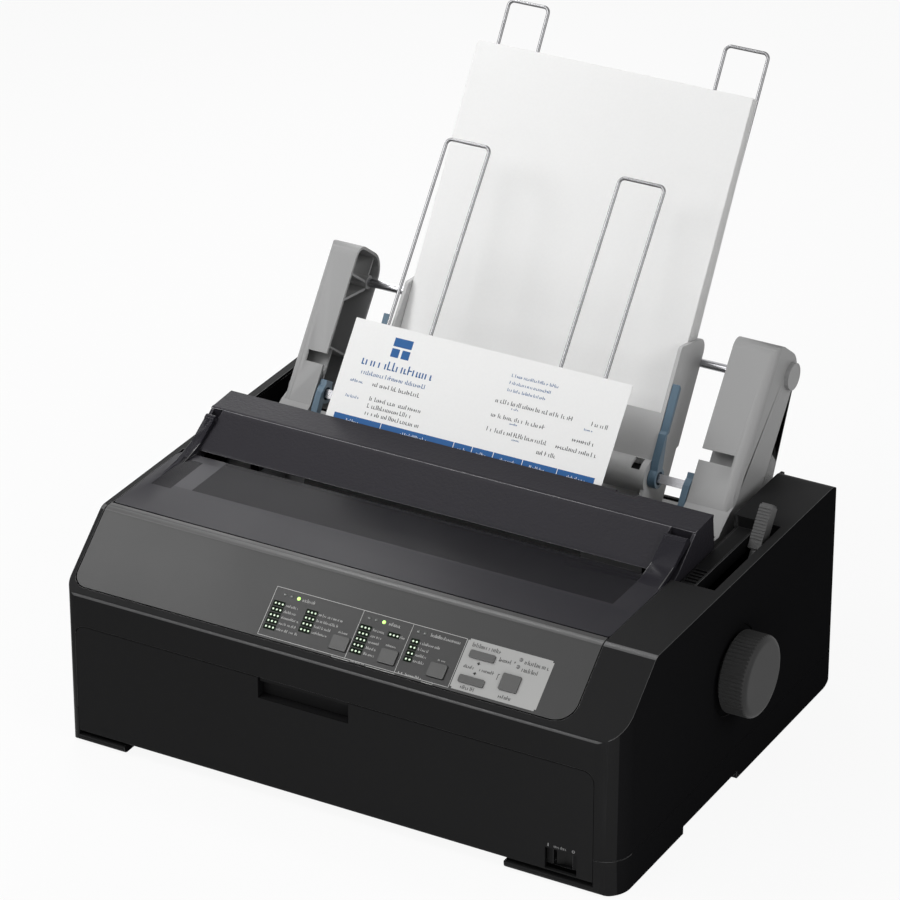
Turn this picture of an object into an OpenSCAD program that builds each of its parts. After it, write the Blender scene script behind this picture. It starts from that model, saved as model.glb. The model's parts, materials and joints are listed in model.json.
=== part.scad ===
// Narrow-carriage dot matrix printer with a cut-sheet feeder fitted behind its cover.
// Modelled in a machine frame: X to the right from the middle of the case, Y to the rear
// from the front face, Z up from the table. placed() then moves the origin to the middle
// of the footprint. Sizes are in millimetres.

/* [Case] */
// Width of the case
body_w = 410; // [404:1:416]
// Depth of the case
body_d = 314; // [312:1:322]
// Height of the flat deck
deck_z = 154.5; // [153.5:0.5:157]
// Height where the front face turns into the sloped panel
face_z = 113; // [111:0.5:115]
// Depth of the ridge where the slope meets the deck
ridge_y = 48.25; // [46:0.25:50]
// Wall thickness of the case mouldings
wall = 2.5; // [2:0.1:2.8]
// Height of the seam between lower and upper case
seam_z = 26.5; // [25:0.5:28]
// Height of the case bottom between its feet
base_z = 6.6; // [6:0.1:7]
// Plan radius of the front right corner
corner_fr = 18; // [14:1:20]
// Plan radius of the front left corner
corner_fl = 9; // [7:1:11]
// Plan radius of the two rear corners
corner_rear = 4; // [3:0.5:6]
// Width of the closed shoulder to the right of the cover
shoulder_w = 37; // [36:0.5:38]
// Running gap round covers, doors and buttons
gap = 0.35; // [0.3:0.05:0.45]

/* [Front panel] */
// Thickness of the panel, cover and door mouldings
skin = 2.4; // [2:0.1:2.6]
// Start of the panel along the slope
panel_s0 = 6.2; // [5.5:0.1:7]
// Rear edge of the panel on the deck
panel_rear = 55; // [54:0.25:56]
// Travel of a push button
press = 1; // [0.6:0.1:1.2]
// Height of the front door
door_h = 81.2; // [79:0.2:82]
// Rear edge of the smoked cover
cover_rear = 139.5; // [138:0.5:141]

/* [Paper path] */
// Depth of the platen axis
platen_y = 161; // [160.5:0.25:161.5]
// Height of the platen axis
platen_z = 88; // [87.5:0.25:88.5]
// Radius of the platen roller
platen_r = 17; // [16.6:0.1:17.2]
// Radius of the platen shaft
shaft_r = 5; // [4.6:0.1:5.2]
// Radius of the platen knob
knob_r = 28; // [26:0.5:29]
// Reach of the knob beyond the case
knob_reach = 21; // [19:0.5:23]
// Lean of the printed form from upright
form_tilt = 38; // [37.5:0.25:38.5]
// Width of the sheets
sheet_w = 210; // [205:1:214]
// Length of the sheets in the stack
sheet_l = 297; // [280:1:300]
// Thickness of the stack of sheets
stack_t = 16; // [12:0.5:16]

/* [Sheet feeder] */
// Lean of the stack from upright
stack_tilt = 32.2; // [31.8:0.1:32.6]
// Lean of the two feeder arms from upright
arm_tilt = 36.64; // [36.2:0.1:37]
// Depth of a feeder arm from front to back
arm_depth = 41.5; // [41:0.25:42.5]
// Wall thickness of the feeder arms
arm_wall = 2; // [1.8:0.1:2.2]
// Radius of the feed rollers
roller_r = 6.4; // [6.2:0.1:6.6]
// Side of the square feed shaft
feed_side = 6; // [5.6:0.1:6.2]
// Wire radius of the sheet supports
wire_r = 1.25; // [1:0.05:1.3]
// Gap between a sheet support wire and its guide
wire_fit = 0.05; // [0.04:0.01:0.08]

/* [Mechanism] */
// Gear tooth module
gear_m = 1; // [0.995:0.001:1.005]
// Thickness of the gears
gear_t = 5; // [4:0.5:5]
// Radius of the carriage rod
rod_r = 4.5; // [4:0.1:5]
// Radial running fit of shafts in their bearings
fit = 0.05; // [0.03:0.01:0.08]
// Sheet thickness of the chassis
chassis_t = 1.6; // [1.2:0.1:2]

/* [Hidden] */
$fn = 48;
eps = 0.01;

half_w = body_w / 2;
slope = atan2(deck_z - face_z, ridge_y);
col_x = half_w - shoulder_w;
cover_x0 = -half_w + 4.5;
cover_x1 = col_x - gap;
well_x0 = -half_w + 6;
well_y0 = cover_rear + 3;
floor_top = base_z + wall;
foot_z = 1.2;
rear_edge = body_d - 16;
board_y = rear_edge - 102;

// Side plates of the chassis
plate_r = col_x - 41;
plate_l = -half_w + 34;
gear_x = plate_r + 5;
mid_x = (plate_l + plate_r) / 2 + 5;

// Stack frame: the front plane of the stack passes through this point
stack_y = 284.5;
stack_z = 172;
stack_x0 = mid_x - sheet_w / 2;
stack_x1 = mid_x + sheet_w / 2;
stack_low = -62;

// Arm frame: the front plane of the arms passes through this point
arm_y = 275.2;
arm_z = 179.8;
arm_top = 77.3;
arm_low = -58;
arm_r1 = col_x - 12.2;
arm_r0 = arm_r1 - 32.5;
arm_l0 = -half_w + 16.2;
arm_l1 = arm_l0 + 23;

// Feed shaft, placed so that its rollers touch the front of the stack
feed_depth = -roller_r - 0.25;
feed_along = -27.5;
feed_y = stack_y + feed_depth * cos(stack_tilt) + feed_along * sin(stack_tilt);
feed_z = stack_z - feed_depth * sin(stack_tilt) + feed_along * cos(stack_tilt);
feed_hole = feed_side * 0.7072 + 0.45;

// Upper shaft, behind the stack
upper_along = 56;
upper_depth = stack_t + 10.3;
upper_r = 3;
upper_y = stack_y + upper_depth * cos(stack_tilt) + upper_along * sin(stack_tilt);
upper_z = stack_z - upper_depth * sin(stack_tilt) + upper_along * cos(stack_tilt);

// Form frame: the sheet's plane touches the platen and passes through this point
form_top = 69;
form_run = 93;
form_t = 0.4;
form_y = platen_y - (platen_r + 0.3 + form_t) * cos(form_tilt) + form_run * sin(form_tilt);
form_z = platen_z + (platen_r + 0.3 + form_t) * sin(form_tilt) + form_run * cos(form_tilt);
form_w = sheet_w;
form_x0 = -20.5 - form_w / 2;

// Gear train from the platen to the feed shaft
platen_teeth = 48;
idler_teeth = 76;
feeder_teeth = 26;
feed_teeth = 11;
pinion_teeth = 24;
c_angle = -95;
c_dist = gear_m * (feeder_teeth + feed_teeth) / 2;
c_pos = [feed_y, feed_z] + c_dist * [cos(c_angle), sin(c_angle)];
ac = c_pos - [platen_y, platen_z];
ac_len = norm(ac);
ab_len = gear_m * (platen_teeth + idler_teeth) / 2;
bc_len = gear_m * (idler_teeth + feeder_teeth) / 2;
ab_cos = (ab_len * ab_len + ac_len * ac_len - bc_len * bc_len) / (2 * ab_len * ac_len);
ab_angle = atan2(ac[1], ac[0]) - acos(min(1, ab_cos));
b_pos = [platen_y, platen_z] + ab_len * [cos(ab_angle), sin(ab_angle)];
bc_angle = atan2(c_pos[1] - b_pos[1], c_pos[0] - b_pos[0]);
cd_angle = c_angle + 180;
e_angle = -60;
e_pos = [platen_y, platen_z]
    + gear_m * (platen_teeth + pinion_teeth) / 2 * [cos(e_angle), sin(e_angle)];

// Carriage
rail_y = 62;
rod_y = 108;
rod_z = 72;
carriage_w = 52;
carriage_x = mid_x - 1;
belt_y = 80;
belt_z = 48;
pulley_r = 8;
pulley_lx = plate_l + 18;
pulley_rx = plate_r - 18;

// Reach of the sheet supports sets the rear of the footprint
support_top = 269;
support_depth = stack_t + 4.6;
rear_reach = stack_y + support_top * sin(stack_tilt) + support_depth * cos(stack_tilt)
    + wire_r;

module placed() {
    translate([-knob_reach / 2, -rear_reach / 2, 0]) children();
}
// Runs a side profile, drawn as depth and height, from one width to another
module x_run(x0, x1) {
    translate([x0, 0, 0]) rotate([90, 0, 90]) linear_extrude(x1 - x0) children();
}
module x_rod(x0, x1, y, z, r) {
    translate([x0, y, z]) rotate([0, 90, 0]) cylinder(h = x1 - x0, r = r);
}
module block(x0, x1, y0, y1, z0, z1) {
    translate([x0, y0, z0]) cube([x1 - x0, y1 - y0, z1 - z0]);
}
// Places children on the slope: across, up along the slope, and out of it
module on_slope(x, s, out = 0) {
    translate([x, s * cos(slope) - out * sin(slope),
        face_z + s * sin(slope) + out * cos(slope)]) rotate([slope, 0, 0]) children();
}
// Places children in the stack's frame: across, behind its front plane, and up along it
module in_stack() {
    translate([0, stack_y, stack_z]) rotate([-stack_tilt, 0, 0]) children();
}
module in_arm() {
    translate([0, arm_y, arm_z]) rotate([-arm_tilt, 0, 0]) children();
}
module in_form() {
    translate([0, form_y, form_z]) rotate([-form_tilt, 0, 0]) children();
}
// A rectangle with its own radius at each corner: low left, low right, top right, top left
module round_rect(x0, x1, y0, y1, r) {
    difference() {
        translate([x0, y0]) square([x1 - x0, y1 - y0]);
        corner_off(x0, y0, 1, 1, r[0]);
        corner_off(x1, y0, -1, 1, r[1]);
        corner_off(x1, y1, -1, -1, r[2]);
        corner_off(x0, y1, 1, -1, r[3]);
    }
}
module corner_off(x, y, sx, sy, r) {
    if (r > 0) translate([x, y]) scale([sx, sy]) difference() {
        translate([-1, -1]) square(r + 1);
        translate([r, r]) circle(r);
    }
}
function arc(c, r, a0, a1, n) =
    [for (k = [0:n]) c + r * [cos(a0 + (a1 - a0) * k / n), sin(a0 + (a1 - a0) * k / n)]];

// Side profile of the case, drawn in by i all round
function case_profile(i) =
    let(zt = deck_z - i, yr = body_d - i,
        zf = face_z - i * (1 - sin(slope)) / cos(slope),
        yt = ((zt - face_z) * cos(slope) + i) / sin(slope),
        rf = max(1, 4 - i), rr = max(3, 9 - i), rb = max(1, 10 - i), rl = max(1, 3.5 - i),
        rz = max(1, 11 - i), zb = foot_z + i,
        df = rf * tan((90 - slope) / 2), dr = rr * tan(slope / 2))
    concat(arc([i + rl, zb + rl], rl, 270, 180, 3),
        arc([i + rf, zf - df], rf, 180, 90 + slope, 4),
        arc([yt + dr, zt - rr], rr, 90 + slope, 90, 6),
        arc([yr - rb, zt - rb], rb, 90, 0, 7), arc([yr - rz, zb + rz], rz, 0, -90, 6));

module case_body(i) {
    intersection() {
        x_run(-half_w - 1, half_w + 1) polygon(case_profile(i));
        translate([0, 0, -1]) linear_extrude(deck_z + 2)
            round_rect(-half_w + i, half_w - i, i, body_d - i,
                [corner_fl - i, corner_fr - i, corner_rear - i, corner_rear - i]);
    }
}
module case_shell(i0, i1) {
    difference() {
        case_body(i0);
        case_body(i1);
    }
}
// The outline of the control panel, grown by g on the sides that meet the case
module panel_zone(g) {
    intersection() {
        on_slope(0, 0, -30) linear_extrude(50)
            round_rect(cover_x0 - 1.2 - g, cover_x1 + g, panel_s0 - g, 140, [10, 15, 0, 0]);
        block(-half_w, half_w, -1, panel_rear + g, 80, deck_z + 1);
    }
}

// Front door frame sizes
door_x0 = -half_w + 8;
door_x1 = half_w - 18;
door_z0 = base_z + 2.2;
hinge_y = 6.2;
hinge_z = door_z0 + 5.7;
// Power switch
switch_x = half_w - 40.6;
switch_z = 19;
rocker_w = 13;
rocker_h = 12.6;
pivot_r = 1.5;

module foot_plan(g) {
    for (s = [-1, 1]) {
        x0 = s < 0 ? -half_w : half_w - 81.5;
        x1 = s < 0 ? -half_w + 43 : half_w;
        translate([x0 - g, -g]) square([x1 - x0 + 2 * g, 92 + 2 * g]);
        translate([x0 - g, 170 - g]) square([x1 - x0 + 2 * g, body_d - 170 + 2 * g]);
    }
}
module lower_case() {
    color([0.12, 0.12, 0.13]) difference() {
        union() {
            intersection() {
                case_body(0);
                block(-half_w, half_w, 0, body_d, base_z, seam_z);
            }
            intersection() {
                case_body(0);
                translate([0, 0, foot_z]) linear_extrude(base_z) foot_plan(0);
            }
            intersection() {
                case_shell(wall + gap, 2 * wall + gap);
                block(-half_w, half_w, 20, body_d, seam_z - 3, seam_z + 3);
            }
        }
        difference() {
            intersection() {
                case_body(wall);
                block(-half_w, half_w, 0, body_d, floor_top, seam_z + 10);
            }
            intersection() {
                case_shell(wall - 1, 2 * wall + gap);
                block(-half_w, half_w, 20, body_d, floor_top - 1, seam_z + 3);
            }
        }
        block(door_x0 - gap, door_x1 + gap, -1, 12.4, base_z - eps, seam_z + 5);
        for (x = [-half_w + 22, half_w - 22], y = [26, body_d - 26])
            translate([x, y, 0]) cylinder(h = 2.4, r = 10.2);
        for (x = [-120:15:105]) block(x, x + 6, 110, 150, base_z - 1, floor_top + 1);
    }
    // Knuckles of the door hinge, and the collar of the power switch
    color([0.12, 0.12, 0.13]) difference() {
        union() {
            for (x = door_hinges) {
                x_rod(x - 9, x + 9, hinge_y, hinge_z, 3.4);
                block(x - 9, x + 9, hinge_y, 18, hinge_z - 3, hinge_z + 3.4);
                block(x - 9, x + 9, 12.4, 18, base_z + 1, hinge_z + 3.4);
            }
            x_run(switch_x - 11.3, switch_x + 11.3) polygon([[3.2, 27.6], [3.2, 13.4],
                [5.2, 11.4], [12.6, 11.4], [12.6, base_z + 1], [24, base_z + 1], [24, 27.6]]);
        }
        x_rod(-half_w, half_w, hinge_y, hinge_z, pivot_r + fit);
        block(switch_x - rocker_w / 2 - gap, switch_x + rocker_w / 2 + gap, -1, 16,
            switch_z - rocker_h / 2 - gap, switch_z + rocker_h / 2 + gap);
        translate([switch_x, rocker_y, base_z]) cylinder(h = 24, r = pivot_r + fit);
    }
}
door_hinges = [door_x0 + 20, door_x1 - 60];
rocker_y = 9;

module upper_case() {
    z0 = seam_z + 0.5;
    color([0.12, 0.12, 0.13]) difference() {
        union() {
            intersection() {
                case_shell(0, wall);
                block(-half_w, half_w, 0, body_d, z0, deck_z + 1);
            }
            // Ledge that carries the control panel
            intersection() {
                case_shell(wall - eps, wall + 2.4);
                block(-half_w, half_w, -1, panel_rear + 4, 80, deck_z);
                difference() {
                    panel_zone(3);
                    panel_zone(-4);
                }
            }
            // Walls of the right-hand column and the rear tower
            block(col_x - wall, col_x, well_y0 + 0.5, body_d - wall, 100, deck_z - 8);
            block(col_x - 4, col_x - 4 + wall, 242, body_d - wall, 100, deck_z - 1);
            block(col_x - 4, half_w - wall, 242 - wall, 242, 100, deck_z - 1);
            block(col_x - wall, half_w - wall, 138.5, 141, 100, deck_z - 1);
            // Depressed shelf with ribs, and the rib beside the lever slot
            block(col_x - wall, half_w - 19.5, 141, 242, deck_z - 10, deck_z - 8);
            block(half_w - 21, half_w - 19.5, 141, 242, deck_z - 10, deck_z);
            for (k = [0:6])
                block(col_x + 2, half_w - 21, 148 + 4 * k, 149.6 + 4 * k,
                    deck_z - 8 - eps, deck_z - 6.4);
            // Pivot boss of the paper-release lever
            x_rod(half_w - 12, half_w - wall + eps, lever_y, lever_z, 6);
            x_rod(half_w - 21, half_w - wall + eps, lever_y, lever_z, 3);
        }
        panel_zone(gap);
        // Cover bay and well
        block(cover_x0 - gap, col_x, panel_rear - 1, 142.5, deck_z - 9, deck_z + 1);
        block(well_x0, col_x - 4, 142, body_d - 12, deck_z - 9, deck_z + 1);
        block(col_x - 5, col_x, 142, 240, deck_z - 9, deck_z + 1);
        block(col_x - eps, half_w - 21, 141, 239.5, deck_z - 6, deck_z + 1);
        // Lever slot
        block(half_w - 19.5, half_w - 6.5, 141.5, 239.5, deck_z - 12, deck_z + 1);
        // Low middle of the rear wall
        block(well_x0, col_x - 4, body_d - 14, body_d + 1, 112, deck_z + 1);
        // Door opening with rounded upper corners
        translate([0, 11, 0]) rotate([90, 0, 0]) linear_extrude(12)
            round_rect(door_x0 - gap, door_x1 + gap, -5, door_z0 + door_h + gap,
                [0, 0, 8, 8]);
        // Knob shaft hole with its shallow ring
        x_rod(half_w - wall - 1, half_w + 1, platen_y, platen_z, shaft_r + 3);
        x_rod(half_w - 1, half_w + 1, platen_y, platen_z, knob_r + 3);
        // Rear windows for the inlet and the interface port, and cooling slots
        block(inlet_x - 15, inlet_x + 15, body_d - wall - 1, body_d + 1, 40, 64);
        block(port_x - 32, port_x + 32, body_d - wall - 1, body_d + 1, 44, 62);
        for (k = [0:17]) block(-60 + 7 * k, -57 + 7 * k, body_d - wall - 1, body_d + 1, 78, 100);
        for (k = [0:11]) block(-half_w - 1, -half_w + wall + 1, 190 + 7 * k, 193 + 7 * k, 50, 78);
    }
}
// Pivot of the paper-release lever
lever_y = platen_y + 12.5;
lever_z = platen_z - 2;
// Rear sockets
inlet_x = -150;
port_x = 90;

module rubber_feet() {
    color([0.07, 0.07, 0.07]) for (x = [-half_w + 22, half_w - 22], y = [26, body_d - 26])
        translate([x, y, 0]) cylinder(h = 2.4, r = 10);
}

// Push buttons as centre across, centre along the slope, width and length
font_spec = [-3, 16.6, 12, 9.6];
pitch_spec = [32.6, 16.6, 12, 9.6];
tear_spec = [68.3, 16.6, 12, 9.6];
load_spec = [93.9, 33.6, 18, 5.2];
feed_spec = [93.2, 16.2, 18, 5.2];
pause_spec = [118.6, 21.6, 13, 11.4];
buttons = [font_spec, pitch_spec, tear_spec, load_spec, feed_spec, pause_spec];
button_x = col_x - 168;
board_out = -10;

// Lamps as centre across and along the slope
lamp_row = [-52.5, -47.6, -42.4, 9.7, 15, 20.5, 45.9, 50.7];
function lamp_block(x, s, nx, ns, px, ps) =
    [for (i = [0:nx - 1], j = [0:ns - 1]) [x + i * px, s - j * ps]];
lamps = concat([for (x = lamp_row) [x, 38.2]],
    lamp_block(-56.9, 31.4, 2, 5, 5.6, 4.23), lamp_block(-32.4, 31.4, 2, 4, 5.6, 4.15),
    lamp_block(7, 31.4, 2, 5, 5.4, 4.15), lamp_block(27.5, 31.4, 2, 1, 5.5, 1),
    lamp_block(44.6, 31.7, 2, 4, 3, 4.35), [[119.6, 38.5], [119.6, 33.5]]);

module button_cap(b, g) {
    translate([b[0] + button_x, b[1]])
        round_rect(-b[2] / 2 - g, b[2] / 2 + g, -b[3] / 2 - g, b[3] / 2 + g, [1, 1, 1, 1]);
}
module control_panel() {
    color([0.27, 0.27, 0.27]) difference() {
        union() {
            intersection() {
                case_shell(0, skin);
                panel_zone(0);
            }
            for (b = buttons) on_slope(0, 0, -5.5) linear_extrude(5)
                button_cap(b, gap + 1.2);
            // Lip that seats the panel under the smoked cover
            block(cover_x0 + 8, cover_x1 - 8, panel_rear - 3, panel_rear - 1,
                deck_z - 6, deck_z - 1);
        }
        for (b = buttons) on_slope(0, 0, -8) linear_extrude(12) button_cap(b, gap);
        for (l = lamps) on_slope(l[0] + button_x, l[1], -4) cylinder(h = 6, r = 1, $fn = 16);
    }
}
module panel_board() {
    color([0.1, 0.35, 0.2]) difference() {
        on_slope(button_x + 38, 26, board_out) translate([-104, -20, 0]) cube([208, 36, 1.6]);
        on_slope(button_x - 58, 14, board_out - 1) cylinder(h = 4, r = 1.6);
    }
    color([0.6, 0.8, 0.3]) for (l = lamps)
        on_slope(l[0] + button_x, l[1], board_out + 1.6)
            cylinder(h = -board_out - 1.9, r = 0.8, $fn = 16);
    color([0.1, 0.1, 0.1]) for (b = buttons)
        on_slope(b[0] + button_x, b[1], board_out + 1.6) {
            translate([-2.2, -2.2, 0]) cube([4.4, 4.4, 1.4]);
            cylinder(h = 1.9, r = 1, $fn = 16);
        }
    // Posts that carry the board from the panel
    color([0.2, 0.2, 0.2]) for (x = [-62, 138]) on_slope(x + button_x, 40, board_out + 1.6)
        cylinder(h = -board_out - 1.6 - skin, r = 2);
}
module push_button(b) {
    top = 1;
    low = board_out + 1.6 + 1.9 + press + 0.2;
    on_slope(0, 0, low) linear_extrude(top - low) button_cap(b, 0);
}
module font_button() { color([0.3, 0.3, 0.3]) push_button(font_spec); }
module pitch_button() { color([0.3, 0.3, 0.3]) push_button(pitch_spec); }
module tear_off_button() { color([0.3, 0.3, 0.3]) push_button(tear_spec); }
module load_button() { color([0.3, 0.3, 0.3]) push_button(load_spec); }
module feed_button() { color([0.3, 0.3, 0.3]) push_button(feed_spec); }
module pause_button() { color([0.3, 0.3, 0.3]) push_button(pause_spec); }

module front_door() {
    recess_x = -23.5;
    z1 = door_z0 + door_h;
    color([0.12, 0.12, 0.13]) difference() {
        union() {
            intersection() {
                translate([0, skin, 0]) rotate([90, 0, 0]) linear_extrude(skin)
                    round_rect(door_x0, door_x1, door_z0, z1, [2, 2, 7.6, 7.6]);
                // The lower edge is rounded so that it clears the feet when it swings
                x_run(door_x0, door_x1) round_rect(0, 20, door_z0, z1, [skin - 0.1, 0, 0, 0]);
            }
            // Stiffening ribs on the inside
            for (x = [door_x0 + 46:58:door_x1 - 50])
                block(x, x + 1.6, skin - eps, skin + 3, door_z0 + 14, z1 - 20);
            // Finger pocket behind the opening in the top edge
            block(recess_x - 36, recess_x + 36, skin - eps, 9, z1 - 18, z1 - 1);
            // Hinge knuckles and pins
            for (x = door_hinges) {
                for (k = [x - 14, x + 9.3]) {
                    x_rod(k, k + 4.7, hinge_y, hinge_z, 3.4);
                    block(k, k + 4.7, skin - eps, hinge_y, hinge_z - 3, hinge_z + 3);
                }
                x_rod(x - 10, x + 10, hinge_y, hinge_z, pivot_r);
            }
        }
        block(recess_x - 33.5, recess_x + 33.5, -1, 7, z1 - 15, z1 - 3.5);
        block(recess_x - 33.5, recess_x + 33.5, -1, 2, z1 - 15, z1 + 1);
        // Window in front of the power switch
        block(switch_x - 11.3, switch_x + 11.3, -1, 5, door_z0 + 2, switch_z + 7.2);
    }
}
module power_rocker() {
    color([0.08, 0.08, 0.08]) union() {
        translate([switch_x, rocker_y, switch_z - rocker_h / 2]) rotate([0, 0, 8]) {
            linear_extrude(rocker_h) polygon([[-5.7, -3.8], [0, -2.2], [5.7, -3.8],
                [5.2, 4], [-5.2, 4]]);
            translate([0, 0, -1]) cylinder(h = rocker_h + 2, r = pivot_r);
        }
    }
}

// Hinge line of the smoked cover on the tear-off cover
cover_hinge_y = 166;
cover_hinge_z = deck_z + 13.5;
lip_y = 145.3;
crest_y = 175.5;
crest_z = deck_z + 17;
hump_rear = 201.5;
arm_tab_r = [col_x - 17.5, col_x - 1.4];
arm_tab_l = [-half_w + 8.5, -half_w + 15.5];

module front_cover() {
    color([0.24, 0.24, 0.26]) difference() {
        union() {
            translate([0, 0, deck_z - skin]) linear_extrude(skin)
                round_rect(cover_x0, cover_x1, panel_rear + 0.9, cover_rear, [2, 2, 6, 6]);
            block(cover_x0 + 8, cover_x1 - 8, panel_rear + 3, panel_rear + 5,
                deck_z - 7, deck_z - skin + eps);
            for (t = [arm_tab_l, arm_tab_r]) {
                x_run(t[0], t[1]) polygon([[cover_rear - 14, deck_z - eps],
                    [cover_rear - 4, deck_z + 2.6], [lip_y + 1.5, deck_z + 5.4],
                    [cover_hinge_y - 2, cover_hinge_z + 2], [cover_hinge_y, cover_hinge_z - 1],
                    [cover_hinge_y - 1.5, cover_hinge_z - 3.2], [lip_y + 0.5, deck_z + 2.4],
                    [cover_rear - 1.5, deck_z - skin], [cover_rear - 14, deck_z - skin]]);
                x_rod(t[0], t[1], cover_hinge_y, cover_hinge_z, 3.5);
            }
        }
        x_rod(-half_w, half_w, cover_hinge_y, cover_hinge_z, pivot_r + fit);
    }
}
// Side profile of the tear-off cover's sheet, lowered by d on its front slope
function hump_front(d) = [[lip_y - 0.6, deck_z + 0.8 - d], [lip_y + 1.2, deck_z + 2.6 - d],
    [crest_y - 3, crest_z - 0.9 - d], [crest_y - 1, crest_z - d], [crest_y + 1, crest_z + 0.4 - d]];
function hump_back(d) = [[crest_y + 2, crest_z - 2.1 - d], [crest_y - 0.5, crest_z - 2.6 - d],
    [lip_y + 2.6, deck_z + 0.4 - d], [lip_y + 0.6, deck_z - 0.4 - d]];
module hump_slice(x0, x1, d) {
    x_run(x0, x1) polygon(concat(hump_front(d), hump_back(d)));
}
module tear_off_cover() {
    x0 = well_x0 + 0.4;
    x1 = col_x - 0.4;
    color([0.26, 0.25, 0.28]) difference() {
        union() {
            hump_slice(arm_tab_l[1] + 0.5, arm_tab_r[0] - 0.5, 0);
            for (t = [[x0, arm_tab_l[1] + 0.5 + eps], [arm_tab_r[0] - 0.5 - eps, x1]])
                hump_slice(t[0], t[1], 6.2);
            // Top band, with a raised bead along its front
            x_run(x0, x1) polygon([[crest_y, crest_z - 6.8], [crest_y, crest_z + 0.3],
                [crest_y + 2, crest_z + 0.9], [crest_y + 4, crest_z + 0.5],
                [hump_rear, crest_z + 1.5], [hump_rear + 0.6, crest_z + 0.9],
                [hump_rear + 0.6, crest_z - 1], [crest_y + 2.4, crest_z - 2.2],
                [crest_y + 2.4, crest_z - 6.8]]);
            // End walls
            for (x = [x0, x1 - 2]) x_run(x, x + 2) polygon([[lip_y + 1, deck_z - 5.6],
                [crest_y - 4, crest_z - 3.2], [crest_y + 1, crest_z], [hump_rear, crest_z + 1],
                [hump_rear, crest_z - 3], [hump_rear + 3, deck_z - 8], [lip_y + 1, deck_z - 8]]);
            // Cheeks of the two hinge pockets, with their pins
            for (x = [arm_tab_l[1] + 0.5, arm_tab_r[0] - 2]) x_run(x, x + 1.5) polygon([
                [lip_y + 1, deck_z - 5.6], [lip_y + 1, deck_z + 2], [crest_y - 3, crest_z - 0.9],
                [crest_y + 1, crest_z], [crest_y + 1, crest_z - 8]]);
            x_rod(arm_tab_r[0] - 1, x1 - 1, cover_hinge_y, cover_hinge_z, pivot_r);
            x_rod(x0 + 1, arm_tab_l[1] + 1, cover_hinge_y, cover_hinge_z, pivot_r);
            // Legs that stand on the side plates
            block(plate_r - 3, plate_r + 4, 186, 196, 125, crest_z - 1);
            block(plate_l - 4, plate_l + 3, 186, 196, 125, crest_z - 1);
        }
        for (t = [arm_tab_l, arm_tab_r]) difference() {
            x_rod(t[0] - 0.4, t[1] + 0.4, cover_hinge_y, cover_hinge_z, 4.2);
            x_rod(t[0] - 1, t[1] + 1, cover_hinge_y, cover_hinge_z, pivot_r);
        }
        block(97, 112, hump_rear - 2.5, hump_rear + 2, crest_z - 4, crest_z + 3);
    }
}

module rear_sockets() {
    color([0.06, 0.06, 0.06]) difference() {
        block(inlet_x - 14.7, inlet_x + 14.7, body_d - 22, body_d - 0.3, 40.3, 63.7);
        block(inlet_x - 12, inlet_x + 12, body_d - 18, body_d + 1, 43.5, 60.5);
    }
    color([0.7, 0.7, 0.7]) for (x = [-7, 0, 7])
        translate([inlet_x + x, body_d - 19, x == 0 ? 55 : 50.5]) rotate([-90, 0, 0])
            translate([-1.1, -2.4, 0]) cube([2.2, 4.8, 9]);
    color([0.75, 0.75, 0.75]) difference() {
        block(port_x - 31.7, port_x + 31.7, body_d - 16, body_d - 0.3, 44.3, 61.7);
        block(port_x - 27, port_x + 27, body_d - 10, body_d + 1, 48, 58);
    }
    color([0.1, 0.1, 0.1]) block(port_x - 24, port_x + 24, body_d - 11, body_d - 7, 51.2, 54.8);
}

// Outline of a chassis side plate
plate_pts = [[46, floor_top], [46, 58], [84, 62], [92, 96], [122, 125], [216, 125],
    [226, 118], [236, 106], [rear_edge, 106], [rear_edge, floor_top]];
module chassis_frame() {
    color([0.72, 0.73, 0.75]) difference() {
        union() {
            for (x = [plate_l, plate_r]) x_run(x, x + chassis_t) polygon(plate_pts);
            block(plate_l, plate_r + chassis_t, 46, rear_edge, floor_top, floor_top + chassis_t);
            // Front rail that guides the toe of the carriage
            block(plate_l, plate_r + eps, rail_y, rail_y + chassis_t, 30, 58);
            // Collars that carry the platen shaft
            for (x = [plate_l - 4, plate_r - 1]) x_rod(x, x + chassis_t + 4, platen_y, platen_z,
                shaft_r + 3);
            // Stub axles
            x_rod(plate_r, gear_x + gear_t + 0.8, b_pos[0], b_pos[1], 4);
            translate([pulley_rx, belt_y, floor_top]) cylinder(h = 45, r = 2.5);
            // Bracket bosses of the bail and the thickness lever
            x_rod(plate_l - 2, plate_l + 6.6, bail_y, bail_z, 2.5);
            x_rod(plate_r - 4.6, plate_r + 1, bail_y, bail_z, 2.5);
            x_rod(plate_l - 12, plate_l + 1, rod_y, rod_z + 30, 3);
        }
        for (x = [plate_l - 5, plate_r - 2]) x_rod(x, x + chassis_t + 7, platen_y, platen_z,
            shaft_r + fit);
        for (x = [plate_l - 1, plate_r - 1]) x_rod(x, x + 4, rod_y, rod_z, rod_r);
        x_rod(plate_r - 1, plate_r + 4, e_pos[0], e_pos[1], 11.2);
        for (x = [plate_l - 1, plate_r - 1], y = [110, rear_edge - 58]) x_run(x, x + 4)
            round_rect(y, y + 40, 22, 46, [4, 4, 4, 4]);
    }
}
module platen_roller() {
    color([0.1, 0.1, 0.1]) difference() {
        x_rod(plate_l + 21, plate_r - 7, platen_y, platen_z, platen_r);
        x_rod(plate_l + 20, plate_r - 6, platen_y, platen_z, shaft_r);
    }
}
module platen_shaft() {
    color([0.75, 0.75, 0.77]) difference() {
        x_rod(arm_l0 - 2, half_w + knob_reach - 6, platen_y, platen_z, shaft_r);
        block(half_w + 4, half_w + knob_reach, platen_y - 6, platen_y + 6,
            platen_z + shaft_r - 1, platen_z + shaft_r + 1);
    }
}

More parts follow.
